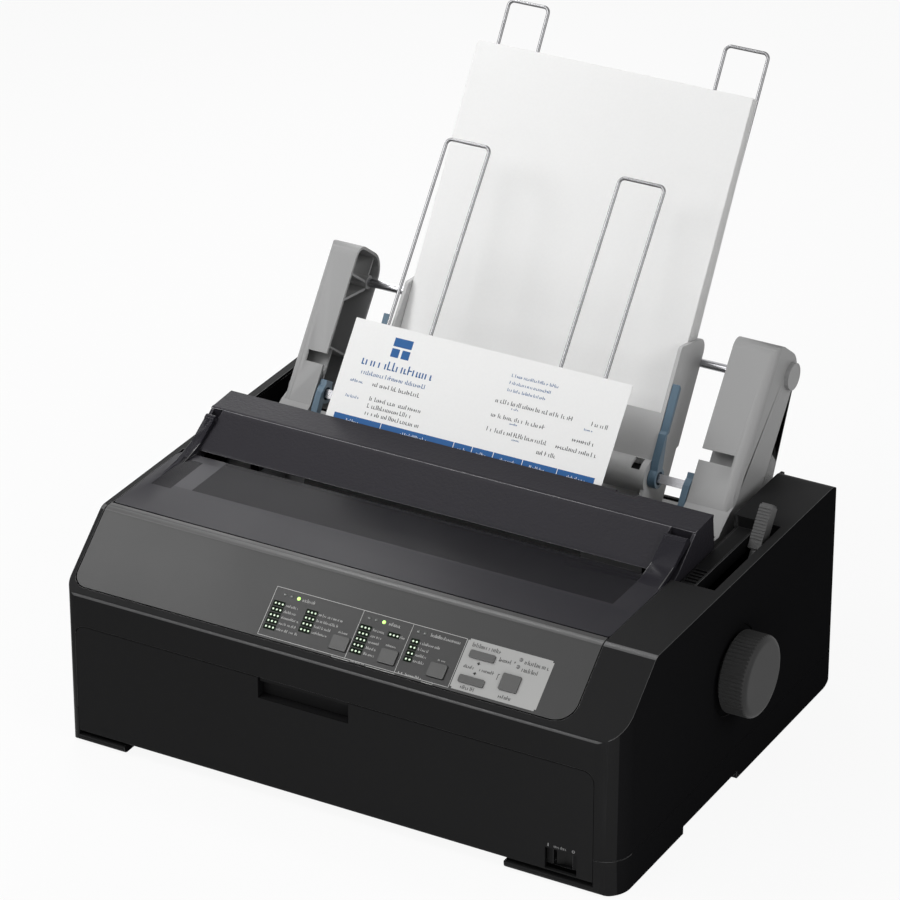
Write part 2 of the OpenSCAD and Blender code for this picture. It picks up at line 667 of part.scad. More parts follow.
// Involute spur gears, drawn as depth and height. The phase is the angle of a tooth's middle
function inv(a) = tan(a) * 180 / PI - a;
function tooth_half(z, r) =
    let(rb = gear_m * z * cos(20) / 2)
    90 / z + inv(20) - (r > rb ? inv(acos(rb / r)) : 0) - 0.035 * 180 / PI / (gear_m * z / 2);
function gear_points(z, phase) =
    let(rp = gear_m * z / 2, rt = rp + 0.92 * gear_m, rf = rp - 1.22 * gear_m,
        rb = max(rf + 0.05, rp * cos(20)), steps = [rb, (rb + rt) / 2, rp + 0.5 * gear_m, rt])
    [for (k = [0:z - 1]) let(c = phase + 360 * k / z) each concat(
        [rf * [cos(c - tooth_half(z, rb) - 0.3), sin(c - tooth_half(z, rb) - 0.3)]],
        [for (r = steps) r * [cos(c - tooth_half(z, r)), sin(c - tooth_half(z, r))]],
        [for (i = [3:-1:0]) let(r = steps[i])
            r * [cos(c + tooth_half(z, r)), sin(c + tooth_half(z, r))]],
        [rf * [cos(c + tooth_half(z, rb) + 0.3), sin(c + tooth_half(z, rb) + 0.3)]])];
// Phase of a gear with z2 teeth that meshes at the angle phi with one of z1 teeth
function mesh_phase(z1, phase1, phi, z2) = phi + 180 + 180 / z2 - z1 / z2 * (phase1 - phi);
a_phase = 0;
b_phase = mesh_phase(platen_teeth, a_phase, ab_angle, idler_teeth);
c_phase = mesh_phase(idler_teeth, b_phase, bc_angle, feeder_teeth);
d_phase = mesh_phase(feeder_teeth, c_phase, cd_angle, feed_teeth);
e_phase = mesh_phase(platen_teeth, a_phase, e_angle, pinion_teeth);

module gear(x, p, z, phase, bore) {
    rim = gear_m * z / 2 - 4;
    difference() {
        translate([0, p[0], p[1]]) x_run(x, x + gear_t) difference() {
            polygon(gear_points(z, phase));
            circle(bore);
        }
        if (rim > bore + 8) difference() {
            x_rod(x + gear_t / 2 + 1, x + gear_t + 1, p[0], p[1], rim);
            x_rod(x, x + gear_t + 2, p[0], p[1], bore + 3);
        }
    }
}
module platen_gear() {
    color([0.85, 0.83, 0.76]) gear(gear_x, [platen_y, platen_z], platen_teeth, a_phase, shaft_r);
}
module idler_gear() {
    color([0.85, 0.83, 0.76]) gear(gear_x, b_pos, idler_teeth, b_phase, 4 + fit);
}
module feeder_idler_gear() {
    color([0.85, 0.83, 0.76]) gear(gear_x, c_pos, feeder_teeth, c_phase, 3 + fit);
}
module feed_gear() {
    color([0.85, 0.83, 0.76]) difference() {
        translate([0, feed_y, feed_z]) x_run(gear_x, gear_x + gear_t)
            polygon(gear_points(feed_teeth, d_phase));
        translate([0, feed_y, feed_z]) rotate([-stack_tilt, 0, 0])
            translate([gear_x - 1, -feed_side / 2, -feed_side / 2])
                cube([gear_t + 2, feed_side, feed_side]);
    }
}
module motor_pinion() {
    color([0.85, 0.83, 0.76]) difference() {
        translate([0, e_pos[0], e_pos[1]]) x_run(gear_x, gear_x + gear_t)
            polygon(gear_points(pinion_teeth, e_phase));
        x_rod(gear_x - 1, gear_x + gear_t + 1, e_pos[0], e_pos[1], 2.5 + fit);
    }
}
module paper_feed_motor() {
    color([0.5, 0.5, 0.52]) union() {
        x_rod(plate_r - 30, plate_r, e_pos[0], e_pos[1], 16);
        x_rod(plate_r - eps, plate_r + chassis_t + 0.6, e_pos[0], e_pos[1], 11);
        x_rod(plate_r, gear_x + gear_t + 2, e_pos[0], e_pos[1], 2.5);
    }
}
module platen_knob() {
    teeth = 60;
    x0 = half_w + 0.4;
    x1 = half_w + knob_reach;
    color([0.27, 0.27, 0.27]) difference() {
        union() {
            intersection() {
                translate([0, platen_y, platen_z]) x_run(x0, x1)
                    polygon([for (k = [0:2 * teeth - 1])
                        (k % 2 == 0 ? knob_r : knob_r - 0.8) * [cos(180 * k / teeth),
                            sin(180 * k / teeth)]]);
                translate([x0, platen_y, platen_z]) rotate([0, 90, 0]) rotate_extrude()
                    polygon(concat([[0, 0], [knob_r - 3, 0], [knob_r + 1, 3]],
                        [[knob_r + 1, knob_reach - 6]],
                        arc([knob_r - 4.5, knob_reach - 4.9], 4.5, 20, 90, 5),
                        [[0, knob_reach - 0.4]]));
            }
        }
        difference() {
            x_rod(x0 - 1, x1 - 6, platen_y, platen_z, shaft_r);
            block(half_w + 4, x1, platen_y - 6, platen_y + 6, platen_z + shaft_r - 1,
                platen_z + shaft_r + 1);
        }
        difference() {
            x_rod(x0 - 1, x1 - 9, platen_y, platen_z, knob_r - 4);
            x_rod(x0 - 2, x1 - 8, platen_y, platen_z, shaft_r + 3);
        }
    }
}

module carriage_rod() {
    color([0.8, 0.8, 0.82]) x_rod(plate_l - 1, plate_r + chassis_t + 1, rod_y, rod_z, rod_r);
}
module carriage() {
    x0 = carriage_x - carriage_w / 2;
    x1 = carriage_x + carriage_w / 2;
    color([0.15, 0.15, 0.16]) difference() {
        union() {
            x_run(x0, x1) polygon([[96, 62], [101, 57], [119, 57], [124, 62], [124, 80],
                [118, 84], [98, 84], [90, 80], [84, 70], [84, 66]]);
            block(x0 + 8, x1 - 8, 58, 96, 64, 67);
            block(x0 + 8, x1 - 8, rail_y + chassis_t + 0.3, rail_y + chassis_t + 2.3, 52, 65);
            block(x0 + 8, x1 - 8, rail_y - 2.3, rail_y - 0.3, 54, 65);
            // Clamp that holds the belt
            block(carriage_x - 8, carriage_x + 8, belt_y + pulley_r + 1.6,
                belt_y + pulley_r + 4.4, belt_z - 3, 66);
        }
        x_rod(x0 - 1, x1 + 1, rod_y, rod_z, rod_r + fit);
    }
}
module print_head() {
    color([0.55, 0.56, 0.58]) difference() {
        union() {
            block(carriage_x - 20, carriage_x + 20, 97, 124, 84, 114);
            block(carriage_x - 8, carriage_x + 8, 124 - eps, 134, 78, 100);
            translate([0, 0, 83.5]) linear_extrude(10) polygon([[carriage_x - 8, 133],
                [carriage_x - 3, 141.4], [carriage_x + 3, 141.4], [carriage_x + 8, 133]]);
        }
        for (k = [0:5]) block(carriage_x - 21, carriage_x + 21, 99 + 4 * k, 101 + 4 * k, 92, 115);
    }
}
module ribbon_cartridge() {
    x0 = plate_l + 14;
    x1 = plate_r - 7;
    color([0.09, 0.09, 0.1]) difference() {
        union() {
            translate([0, 0, 100]) linear_extrude(18) round_rect(x0, x1, 58, 92, [6, 6, 3, 3]);
            translate([0, 0, 100]) linear_extrude(1.6) round_rect(x0, x1, 58, 94, [6, 6, 1, 1]);
            for (s = [0, 1]) x_run(s ? x1 - 4 : x0, s ? x1 : x0 + 4) polygon([[90, 100],
                [90, 116], [112, 112], [140, 96], [142.4, 94.6], [142.4, 82], [138, 82],
                [132, 92], [112, 100]]);
            // Feet that hook on the rod supports
            for (x = [x0 + 4, x1 - 8]) block(x, x + 4, 60, 64, 58.3, 101);
        }
        for (k = [0:1]) translate([x0 + 20 + k * (x1 - x0 - 70), 66, 116.6])
            cube([30, 18, 3]);
        translate([ribbon_x, 75, 112]) cylinder(h = 8, r = 8.2);
        translate([ribbon_x, 75, 106]) cylinder(h = 8, r = 2 + fit);
    }
    color([0.05, 0.05, 0.05]) block(x0 + 1, x1 - 1, 142.4 - eps, 142.7, 82.4, 94.4);
}
ribbon_x = plate_l + 74;
module ribbon_knob() {
    color([0.4, 0.4, 0.42]) difference() {
        union() {
            translate([ribbon_x, 75, 112.3]) cylinder(h = 8.7, r = 7.9);
            translate([ribbon_x, 75, 106.3]) cylinder(h = 7, r = 2);
        }
        for (a = [0:30:330]) translate([ribbon_x + 8.6 * cos(a), 75 + 8.6 * sin(a), 118])
            cylinder(h = 5, r = 1.4, $fn = 16);
    }
}
module stadium(r) {
    translate([pulley_lx, belt_y]) circle(r);
    translate([pulley_rx, belt_y]) circle(r);
    translate([pulley_lx, belt_y - r]) square([pulley_rx - pulley_lx, 2 * r]);
}
module carriage_belt() {
    color([0.08, 0.08, 0.08]) translate([0, 0, belt_z - 3.6]) linear_extrude(7.2) difference() {
        stadium(pulley_r + 1.3);
        stadium(pulley_r + 0.06);
    }
}
module pulley(x) {
    color([0.85, 0.83, 0.76]) difference() {
        union() {
            translate([x, belt_y, belt_z - 5]) cylinder(h = 10, r = pulley_r);
            for (z = [-5, 3.9]) translate([x, belt_y, belt_z + z])
                cylinder(h = 1.1, r = pulley_r + 1.8);
        }
        translate([x, belt_y, belt_z - 6]) cylinder(h = 12, r = 2.5 + fit);
        for (a = [0:72:288]) translate([x + 5.3 * cos(a), belt_y + 5.3 * sin(a), belt_z - 6])
            cylinder(h = 12, r = 1.2, $fn = 16);
    }
}
module drive_pulley() { pulley(pulley_lx); }
module idler_pulley() { pulley(pulley_rx); }
module carriage_motor() {
    color([0.4, 0.4, 0.42]) union() {
        translate([pulley_lx, belt_y, floor_top + chassis_t]) cylinder(h = 28, r = 15.5);
        translate([pulley_lx, belt_y, floor_top + chassis_t]) cylinder(h = 30, r = 8);
        translate([pulley_lx, belt_y, floor_top + chassis_t]) cylinder(h = 43.5, r = 2.5);
    }
}

// Paper bail: a rod with rollers, on two arms that pivot on the side plates
bail_y = 138;
bail_z = 104;
bail_along = 30 - form_run;
roller_bail_r = 6;
bail_out = roller_bail_r + 0.35;
rod_bail_y = form_y + bail_along * sin(form_tilt) - bail_out * cos(form_tilt);
rod_bail_z = form_z + bail_along * cos(form_tilt) + bail_out * sin(form_tilt);
bail_arm_l = plate_l + 4.4;
bail_arm_r = plate_r - 2.4;
module paper_bail() {
    color([0.7, 0.7, 0.72]) difference() {
        union() {
            x_rod(bail_arm_l, bail_arm_r, rod_bail_y, rod_bail_z, 2);
            for (x = [bail_arm_l, bail_arm_r - 1.6]) {
                x_rod(x, x + 1.6, rod_bail_y, rod_bail_z, 4);
                x_rod(x, x + 1.6, bail_y, bail_z, 5);
                translate([x, bail_y, bail_z])
                    rotate([atan2(rod_bail_z - bail_z, rod_bail_y - bail_y), 0, 0])
                    block(0, 1.6, 0, norm([rod_bail_y - bail_y, rod_bail_z - bail_z]), -4, 4);
            }
        }
        x_rod(bail_arm_l - 5, bail_arm_r + 5, bail_y, bail_z, 2.5 + fit);
    }
}
bail_rollers_x = [-118, -58, 2, 60];
module bail_rollers() {
    color([0.12, 0.12, 0.12]) difference() {
        for (x = bail_rollers_x) x_rod(x, x + 14, rod_bail_y, rod_bail_z, roller_bail_r);
        x_rod(plate_l, plate_r, rod_bail_y, rod_bail_z, 2 + fit);
    }
}
module main_board() {
    z = floor_top + chassis_t + 8;
    translate([plate_r, board_y, 0]) {
        color([0.1, 0.38, 0.2]) block(-167, -15, 0, 94, z, z + 1.6);
        color([0.15, 0.15, 0.15]) for (c = [[-147, 14, 26, 26, 3], [-97, 18, 34, 14, 3],
            [-153, 60, 40, 12, 8], [-87, 54, 18, 18, 4], [-47, 10, 22, 60, 10]])
            block(c[0], c[0] + c[2], c[1], c[1] + c[3], z + 1.6, z + 1.6 + c[4]);
        color([0.7, 0.7, 0.72]) for (x = [-161, -21], y = [6, 88])
            translate([x, y, floor_top + chassis_t]) cylinder(h = 8, r = 3);
    }
}
module power_supply() {
    z = floor_top + chassis_t + 6;
    translate([plate_l, board_y, 0]) {
        color([0.6, 0.5, 0.25]) block(7, 86, 0, 94, z, z + 1.6);
        color([0.2, 0.2, 0.2]) block(12, 46, 10, 48, z + 1.6, z + 36);
        color([0.1, 0.15, 0.4]) for (x = [56, 75]) translate([x, 20, z + 1.6])
            cylinder(h = 30, r = 9);
        color([0.7, 0.7, 0.72]) block(34, 78, 56, 59, z + 1.6, z + 28);
        color([0.7, 0.7, 0.72]) for (x = [13, 80], y = [6, 88])
            translate([x, y, floor_top + chassis_t]) cylinder(h = 6, r = 3);
    }
}
front_x0 = plate_l + 39;
front_x1 = plate_r - 33;
module paper_guide() {
    r = platen_r + 1;
    t = 1.5;
    a1 = -28;
    p1 = [platen_y + r * cos(a1), platen_z + r * sin(a1)];
    x0 = plate_l + chassis_t + 0.2;
    x1 = plate_r - 0.2;
    color([0.14, 0.14, 0.15]) union() {
        x_run(x0, x1) difference() {
            translate([platen_y, platen_z]) circle(r + t);
            translate([platen_y, platen_z]) circle(r);
            translate([platen_y - 30, platen_z + r * sin(a1)]) square(60);
        }
        x_run(x0, x1) polygon([p1 - [0.6, 0.6], [243.5, 118], [247.5, 118], [247.5, 115.6],
            [244.5, 115.6], p1 + [t * 0.9, -t * 0.9] - [0.6, 0.6]]);
        // Lower guide from the front door, joined by two webs
        x_run(front_x0, front_x1) polygon([[12, 24.5], [60, 26], [114, 28], [142, 62],
            [140.8, 63], [113.2, 29.5], [60, 27.5], [12, 26]]);
        for (x = [front_x0, front_x1 - t]) x_run(x, x + t) polygon([[112, 29], [141, 62.5],
            [149, 72.6], [161, 69.5], [140, 48], [122, 30]]);
    }
}
module release_lever() {
    lx = half_w - 18.5;
    color([0.28, 0.28, 0.28]) difference() {
        union() {
            x_rod(lx + 2.5, lx + 6, lever_y, lever_z, 6.5);
            translate([0, lever_y, lever_z]) rotate([-lever_tilt, 0, 0]) {
                block(lx + 2.5, lx + 6, -4, 4, 0, 80);
                block(lx, lx + 9, -4.5, 4.5, 74, 104);
                for (k = [0:10]) block(lx, lx + 9, -5.1, -4.4, 80.5 + 2.1 * k, 81.6 + 2.1 * k);
                block(lx - 2.5, lx + 5.5, 4.4, 11, 94.5, 106);
            }
        }
        x_rod(lx, lx + 9, lever_y, lever_z, 3 + fit);
    }
}
lever_tilt = 36.6;
module thickness_lever() {
    x = plate_l - 8;
    color([0.28, 0.28, 0.28]) difference() {
        union() {
            x_rod(x, x + 4, rod_y, rod_z + 30, 7);
            translate([0, rod_y, rod_z + 30]) rotate([20, 0, 0]) {
                block(x, x + 4, -3.5, 3.5, 0, 34);
                block(x - 3, x + 5, -4.5, 4.5, 26, 40);
            }
        }
        x_rod(x - 1, x + 5, rod_y, rod_z + 30, 3 + fit);
    }
}

// Feeder arms: a shell open on the inner side, with rounded corners at its top and outer front
module arm_profile(i) {
    round_rect(i, arm_depth - i, arm_low - 1, arm_top - i, [0, 0, 16 - i, 9 - i]);
}
module arm_solid(x0, x1, side, i) {
    r = max(0.5, 5.5 - i);
    past = i > 0 ? 1 : 0;
    lo = side > 0 ? x0 - past : x0 + i;
    hi = side > 0 ? x1 - i : x1 + past;
    in_arm() intersection() {
        x_run(lo, hi) arm_profile(i);
        translate([0, 0, arm_low - 2]) linear_extrude(arm_top - arm_low + arm_depth)
            round_rect(lo, hi, i, arm_depth - i + 1,
                side > 0 ? [0, r, 0, 0] : [r, 0, 0, 0]);
    }
}
// Side view of the plate that carries each arm and hooks over the platen shaft
foot_pts = [[260, 150.6], [251.3, 147.9], [240.4, 141.5], [234.9, 137.3], [222, 138],
    [215, 157], [210, 165], [199.5, 167.2], [190, 150],
    [168, 118], [153, 97], [153, 83], [169, 83], [169, 92], [182, 103],
    [226, 116], [rear_edge - 36, 112], [rear_edge - 22, 106], [rear_edge, 106],
    [rear_edge, 122], [rear_edge - 8, 134], [286, 160], [271.4, 165]];
module feeder_arm(x0, x1, side) {
    out0 = side > 0 ? x1 - arm_wall : x0;
    rib0 = side > 0 ? x0 + 3 : x0 + 0.5;
    rib1 = side > 0 ? x1 - 0.5 : x1 - 3;
    difference() {
        union() {
            difference() {
                arm_solid(x0, x1, side, 0);
                arm_solid(x0, x1, side, arm_wall);
                // Slot across the front wall
                in_arm() block(side > 0 ? x0 - 1 : x0 + 8.5, side > 0 ? x1 - 8.5 : x1 + 1,
                    -1, arm_wall + 6, -10.5, -2.5);
                // The front wall ends at the crease above the foot
                block(x0 - 5, x1 + 5, 180, 251.5, 80, 148);
                block(x0 - 5, x1 + 5, 180, 340, 80, 128);
            }
            // Foot that flares towards the front
            x_run(x0, x1) polygon([[251.3, 147.9], [240.4, 141.5], [234.9, 137.3],
                [234.9, 127], [236.4, 127], [236.4, 136.5], [241.4, 140.3], [253, 147.1]]);
            x_run(out0, out0 + arm_wall) difference() {
                polygon(foot_pts);
                translate([platen_y, platen_z]) circle(shaft_r + 0.3);
                translate([platen_y - shaft_r - 0.3, platen_z - 10])
                    square([2 * shaft_r + 0.6, 10]);
            }
            // Ribs and shaft bosses inside the shell
            intersection() {
                arm_solid(x0, x1, side, arm_wall / 2);
                in_arm() {
                    block(rib0, rib1, 0, arm_depth, 2.5, 4.1);
                    block(rib0, rib1, 11.5, 13.1, -20, 3);
                    block(rib0, rib1, 0, 34, 55.6, 57.2);
                    block(rib0, rib1, 30.6, 32.2, 57, arm_top);
                    x_run(rib0, rib1) polygon([[33, 51], [33, 53.2], [0, 34.6], [0, 32.6]]);
                }
            }
            x_rod(side > 0 ? x0 + 2.2 : x0 + 1, side > 0 ? x1 - 1 : x1 - 2.2, upper_y, upper_z, 5);
            x_rod(side > 0 ? x1 - 9 : x0 + 1, side > 0 ? x1 - 1 : x0 + 9, feed_y, feed_z, 6);
            if (side > 0) {
                in_arm() x_rod(x1 - 1, x1 + 3, 32, 62.5, 9.5);
                x_rod(gear_x - 1, x1 - 1, c_pos[0], c_pos[1], 3);
            }
        }
        x_rod(side > 0 ? x0 - 1 : x0 + 4, side > 0 ? x1 + 1 : x1 + 1, upper_y, upper_z, upper_r);
        x_rod(side > 0 ? x1 - 10 : x0 + arm_wall, side > 0 ? x1 - arm_wall : x0 + 10,
            feed_y, feed_z, feed_side * 0.7072 + fit);
        // Room for the gears in the right arm
        if (side > 0) {
            x_rod(gear_x - 1, gear_x + gear_t + 1, b_pos[0], b_pos[1],
                gear_m * idler_teeth / 2 + 2);
            intersection() {
                x_rod(gear_x - 1, gear_x + gear_t + 1, feed_y, feed_z,
                    gear_m * feed_teeth / 2 + 1.4);
                in_arm() block(x0, x1, 0.75, arm_depth, -60, 0);
            }
        }
        in_form() block(x0 - 5, x1 + 5, 2.5, 9.5, -14, -4);
    }
}
module feeder_arm_right() { color([0.68, 0.68, 0.68]) feeder_arm(arm_r0, arm_r1, 1); }
module feeder_arm_left() { color([0.68, 0.68, 0.68]) feeder_arm(arm_l0, arm_l1, -1); }
module upper_shaft() {
    color([0.8, 0.8, 0.82]) x_rod(arm_l0 + 4.1, arm_r1 + 1, upper_y, upper_z, upper_r);
}
module feed_shaft() {
    color([0.8, 0.8, 0.82]) translate([0, feed_y, feed_z]) rotate([-stack_tilt, 0, 0]) {
        x0 = arm_l0 + arm_wall + 0.3;
        x1 = arm_r1 - arm_wall - 0.3;
        translate([x0 + 7, -feed_side / 2, -feed_side / 2])
            cube([x1 - x0 - 14, feed_side, feed_side]);
        x_rod(x0, x0 + 8, 0, 0, feed_side * 0.7072);
        x_rod(x1 - 8, x1, 0, 0, feed_side * 0.7072);
    }
}
module feeder_beam() {
    x0 = arm_l0 + arm_wall;
    x1 = arm_r1 - arm_wall;
    color([0.66, 0.66, 0.66]) difference() {
        block(x0, x1, rear_edge - 18, rear_edge, 106, 118);
        block(arm_l1, arm_r0, rear_edge - 16, rear_edge - 2, 105, 115.5);
    }
}
// A wire loop of two legs and a bridge, in its own plane
module wire_loop(x0, x1, depth, low, top, r) {
    for (x = [x0, x1]) translate([x, depth, low]) cylinder(h = top - low - r, r = wire_r);
    translate([x0 + r, depth, top]) rotate([0, 90, 0]) cylinder(h = x1 - x0 - 2 * r, r = wire_r);
    for (s = [0, 1]) translate([s ? x1 - r : x0 + r, depth, top - r]) rotate([90, 0, 0])
        rotate([0, 0, s ? 0 : 90]) rotate_extrude(angle = 90) translate([r, 0]) circle(wire_r);
}
stacker_pairs = [[-104, -71], [28, 61.5]];
// Wire loops behind the printed form, on a bar between the arms
module paper_stacker() {
    color([0.66, 0.66, 0.66]) in_form() union() {
        difference() {
            block(arm_l0, arm_r1, 2.5, 9.5, -14, -4);
            for (p = stacker_pairs) for (x = p) translate([x, 6, -12])
                cylinder(h = 12, r = wire_r);
        }
        for (p = stacker_pairs) wire_loop(p[0], p[1], 6, -12, 204, 4);
    }
}

// Paper hopper: side plate, back plate, bottom lip, front plate and roller housing
hopper_t = 2.6;
hopper_in = 30;
house_r = 12.2;
lock_w = 5.6;
module hopper(side) {
    edge = side > 0 ? stack_x1 + 0.3 : stack_x0 - 0.3;
    e0 = side > 0 ? edge : edge - hopper_t;
    e1 = side > 0 ? edge + hopper_t : edge;
    b0 = side > 0 ? edge - 46 : edge - eps;
    b1 = side > 0 ? edge + eps : edge + 46;
    f0 = side > 0 ? edge - hopper_in : edge - eps;
    f1 = side > 0 ? edge + eps : edge + hopper_in;
    in_stack() difference() {
        union() {
            x_run(e0, e1) union() {
                polygon(concat([[-13, stack_low - 2.4], [-13, 58]],
                    arc([-9.6, 58.6], 3.4, 170, 115, 3), arc([16.6, 63.4], 7.9, 110, 0, 6),
                    [[24.5, -2], [22, -4], [22, stack_low - 2.4]]));
                translate([feed_depth, feed_along]) circle(house_r);
            }
            block(b0, b1, stack_t + 0.3, stack_t + 2.6, stack_low - 2.4, 40);
            block(b0, b1, -2, stack_t + 2.6, stack_low - 2.4, stack_low - 0.3);
            block(f0, f1, -13, -11, feed_along + 9.6, 15);
            x_run(f0, f1) difference() {
                translate([feed_depth, feed_along]) circle(house_r);
                translate([feed_depth, feed_along]) circle(house_r - 2);
                translate([feed_depth + 2, feed_along - 20]) square(40);
            }
            // Guides of the sheet support and the lug on the upper shaft
            for (x = support_xs(side)) block(x - 3, x + 3, stack_t + 2.6 - eps,
                support_depth + wire_r + 1.6, 2, 18);
            lug = (support_xs(side)[0] + support_xs(side)[1]) / 2;
            block(lug - 6, lug + 6, stack_t + 0.3, upper_depth, 38, upper_along + 4);
            translate([lug - 6, upper_depth, upper_along]) rotate([0, 90, 0])
                cylinder(h = 12, r = upper_r + 2.6);
        }
        x_rod(e0 - 1, e1 + 1, feed_depth, feed_along, feed_hole);
        x_rod(e0 - 80, e1 + 80, upper_depth, upper_along, upper_r + fit);
        for (x = support_xs(side)) translate([x, support_depth, 0])
            cylinder(h = 20, r = wire_r + wire_fit);
        block(side > 0 ? f1 - 9 : f0 + 2, side > 0 ? f1 - 2 : f0 + 9, -30, feed_depth - 5,
            feed_along + 2, feed_along + 10);
    }
}
function support_xs(side) = side > 0 ? [stack_x1 - 37.5, stack_x1 - 5.5]
    : [stack_x0 + 5.5, stack_x0 + 36.5];
module hopper_right() { color([0.66, 0.66, 0.66]) hopper(1); }
module hopper_left() { color([0.66, 0.66, 0.66]) hopper(-1); }
module feed_roller(side) {
    edge = side > 0 ? stack_x1 : stack_x0;
    x0 = side > 0 ? edge - 26 : edge + 4;
    in_stack() translate([0, feed_depth, feed_along]) difference() {
        x_rod(x0, x0 + 22, 0, 0, roller_r);
        block(x0 - 1, x0 + 23, -feed_side / 2 - 0.15, feed_side / 2 + 0.15,
            -feed_side / 2 - 0.15, feed_side / 2 + 0.15);
    }
}
module feed_roller_right() { color([0.12, 0.12, 0.12]) feed_roller(1); }
module feed_roller_left() { color([0.12, 0.12, 0.12]) feed_roller(-1); }
module lock_lever(side) {
    edge = side > 0 ? stack_x1 + 0.6 + hopper_t : stack_x0 - 0.6 - hopper_t;
    x0 = side > 0 ? edge : edge - lock_w;
    in_stack() difference() {
        union() {
            x_rod(x0, x0 + lock_w, feed_depth, feed_along, feed_hole + 2.6);
            x_run(x0, x0 + lock_w) polygon([[feed_depth - 6, feed_along + 3],
                [feed_depth + 2, feed_along + 5], [-11.8, feed_along + 29],
                [-9.8, feed_along + 31], [-9.8, 34], [-13, 36], [-13, feed_along + 31],
                [-14.6, feed_along + 29], [-14.6, feed_along + 11]]);
        }
        x_rod(x0 - 1, x0 + lock_w + 1, feed_depth, feed_along, feed_hole);
    }
}
module lock_lever_right() { color([0.41, 0.52, 0.6]) lock_lever(1); }
module lock_lever_left() { color([0.41, 0.52, 0.6]) lock_lever(-1); }
base_lever_w = 5;
module base_lever(x) {
    in_stack() difference() {
        union() {
            x_rod(x, x + base_lever_w, feed_depth, feed_along, feed_hole + 2.4);
            block(x, x + base_lever_w, feed_depth - 5, feed_depth + 4, feed_along, feed_along + 9);
            block(x, x + base_lever_w, feed_depth - 8, feed_depth - 2, feed_along - 18,
                feed_along);
        }
        x_rod(x - 1, x + base_lever_w + 1, feed_depth, feed_along, feed_hole);
    }
}
module base_lever_right() { color([0.41, 0.52, 0.6]) base_lever(arm_r0 - base_lever_w - 0.7); }
module base_lever_left() { color([0.41, 0.52, 0.6]) base_lever(arm_l1 + 0.7); }
module sheet_support(side) {
    xs = support_xs(side);
    in_stack() wire_loop(xs[0], xs[1], support_depth, -8, support_top, 4);
}
module sheet_support_right() { color([0.6, 0.6, 0.62]) sheet_support(1); }
module sheet_support_left() { color([0.6, 0.6, 0.62]) sheet_support(-1); }
// The sheets fan out a little towards their lower edge
module paper_stack() {
    top = stack_low + sheet_l;
    color([0.95, 0.95, 0.94]) in_stack() x_run(stack_x0, stack_x1) polygon([[0, stack_low],
        [stack_t, stack_low], [stack_t, 30], [stack_t * 0.56, top], [0, top]]);
}
module printed_form() {
    color([0.96, 0.96, 0.96]) in_form()
        block(form_x0, form_x0 + form_w, 0, form_t, -form_run, form_top);
}

placed() lower_case();
placed() upper_case();
placed() rubber_feet();
placed() control_panel();
placed() panel_board();
placed() font_button();
placed() pitch_button();
placed() tear_off_button();
placed() load_button();
placed() feed_button();
placed() pause_button();
placed() front_door();
placed() power_rocker();
placed() front_cover();
placed() tear_off_cover();
placed() rear_sockets();
placed() chassis_frame();
placed() platen_roller();
placed() platen_shaft();
placed() platen_gear();
placed() platen_knob();
placed() idler_gear();
placed() feeder_idler_gear();
placed() feed_gear();
placed() paper_feed_motor();
placed() motor_pinion();
placed() carriage_rod();
placed() carriage();
placed() print_head();
placed() ribbon_cartridge();
placed() ribbon_knob();
placed() carriage_belt();
placed() drive_pulley();
placed() idler_pulley();
placed() carriage_motor();
placed() paper_bail();
placed() bail_rollers();
placed() main_board();
placed() power_supply();
placed() paper_guide();
placed() release_lever();
placed() thickness_lever();
placed() feeder_arm_right();
placed() feeder_arm_left();
placed() upper_shaft();
placed() feed_shaft();
placed() feeder_beam();
placed() paper_stacker();
placed() hopper_right();
placed() hopper_left();
placed() feed_roller_right();
placed() feed_roller_left();
placed() lock_lever_right();
placed() lock_lever_left();
placed() base_lever_right();
placed() base_lever_left();
placed() sheet_support_right();
placed() sheet_support_left();
placed() paper_stack();
placed() printed_form();
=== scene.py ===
"""Dot matrix printer with a cut-sheet feeder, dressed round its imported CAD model."""
import json
import random
from math import radians, sin, cos

import bpy
from mathutils import Matrix, Vector


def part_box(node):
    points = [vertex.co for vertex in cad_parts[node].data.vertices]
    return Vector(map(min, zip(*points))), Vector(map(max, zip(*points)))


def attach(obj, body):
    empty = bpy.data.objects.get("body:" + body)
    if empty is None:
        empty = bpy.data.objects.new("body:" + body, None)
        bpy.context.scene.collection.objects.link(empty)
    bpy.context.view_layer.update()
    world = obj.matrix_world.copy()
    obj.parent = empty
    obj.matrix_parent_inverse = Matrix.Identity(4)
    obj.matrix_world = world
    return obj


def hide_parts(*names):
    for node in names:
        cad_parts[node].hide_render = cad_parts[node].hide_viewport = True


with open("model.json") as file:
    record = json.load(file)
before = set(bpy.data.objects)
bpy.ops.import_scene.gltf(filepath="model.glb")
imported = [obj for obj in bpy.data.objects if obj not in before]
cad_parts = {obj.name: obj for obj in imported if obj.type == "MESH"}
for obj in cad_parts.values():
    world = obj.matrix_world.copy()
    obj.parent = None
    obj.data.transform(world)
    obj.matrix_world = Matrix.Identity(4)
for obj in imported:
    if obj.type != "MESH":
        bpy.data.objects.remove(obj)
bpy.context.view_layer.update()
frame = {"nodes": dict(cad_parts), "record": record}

# The studio: a pale seamless floor and seven soft lamps, seen by a long lens from the
# front right. The case gives the machine's own middle and front edge, from which every
# later section measures.
case_low, case_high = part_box("upper_case")
middle = (case_low.x + case_high.x) / 2
front = case_low.y


def machine(x, y, z):
    """A point given in millimetres from the middle of the case's front edge."""
    return Vector((middle + x / 1000, front + y / 1000, z / 1000))


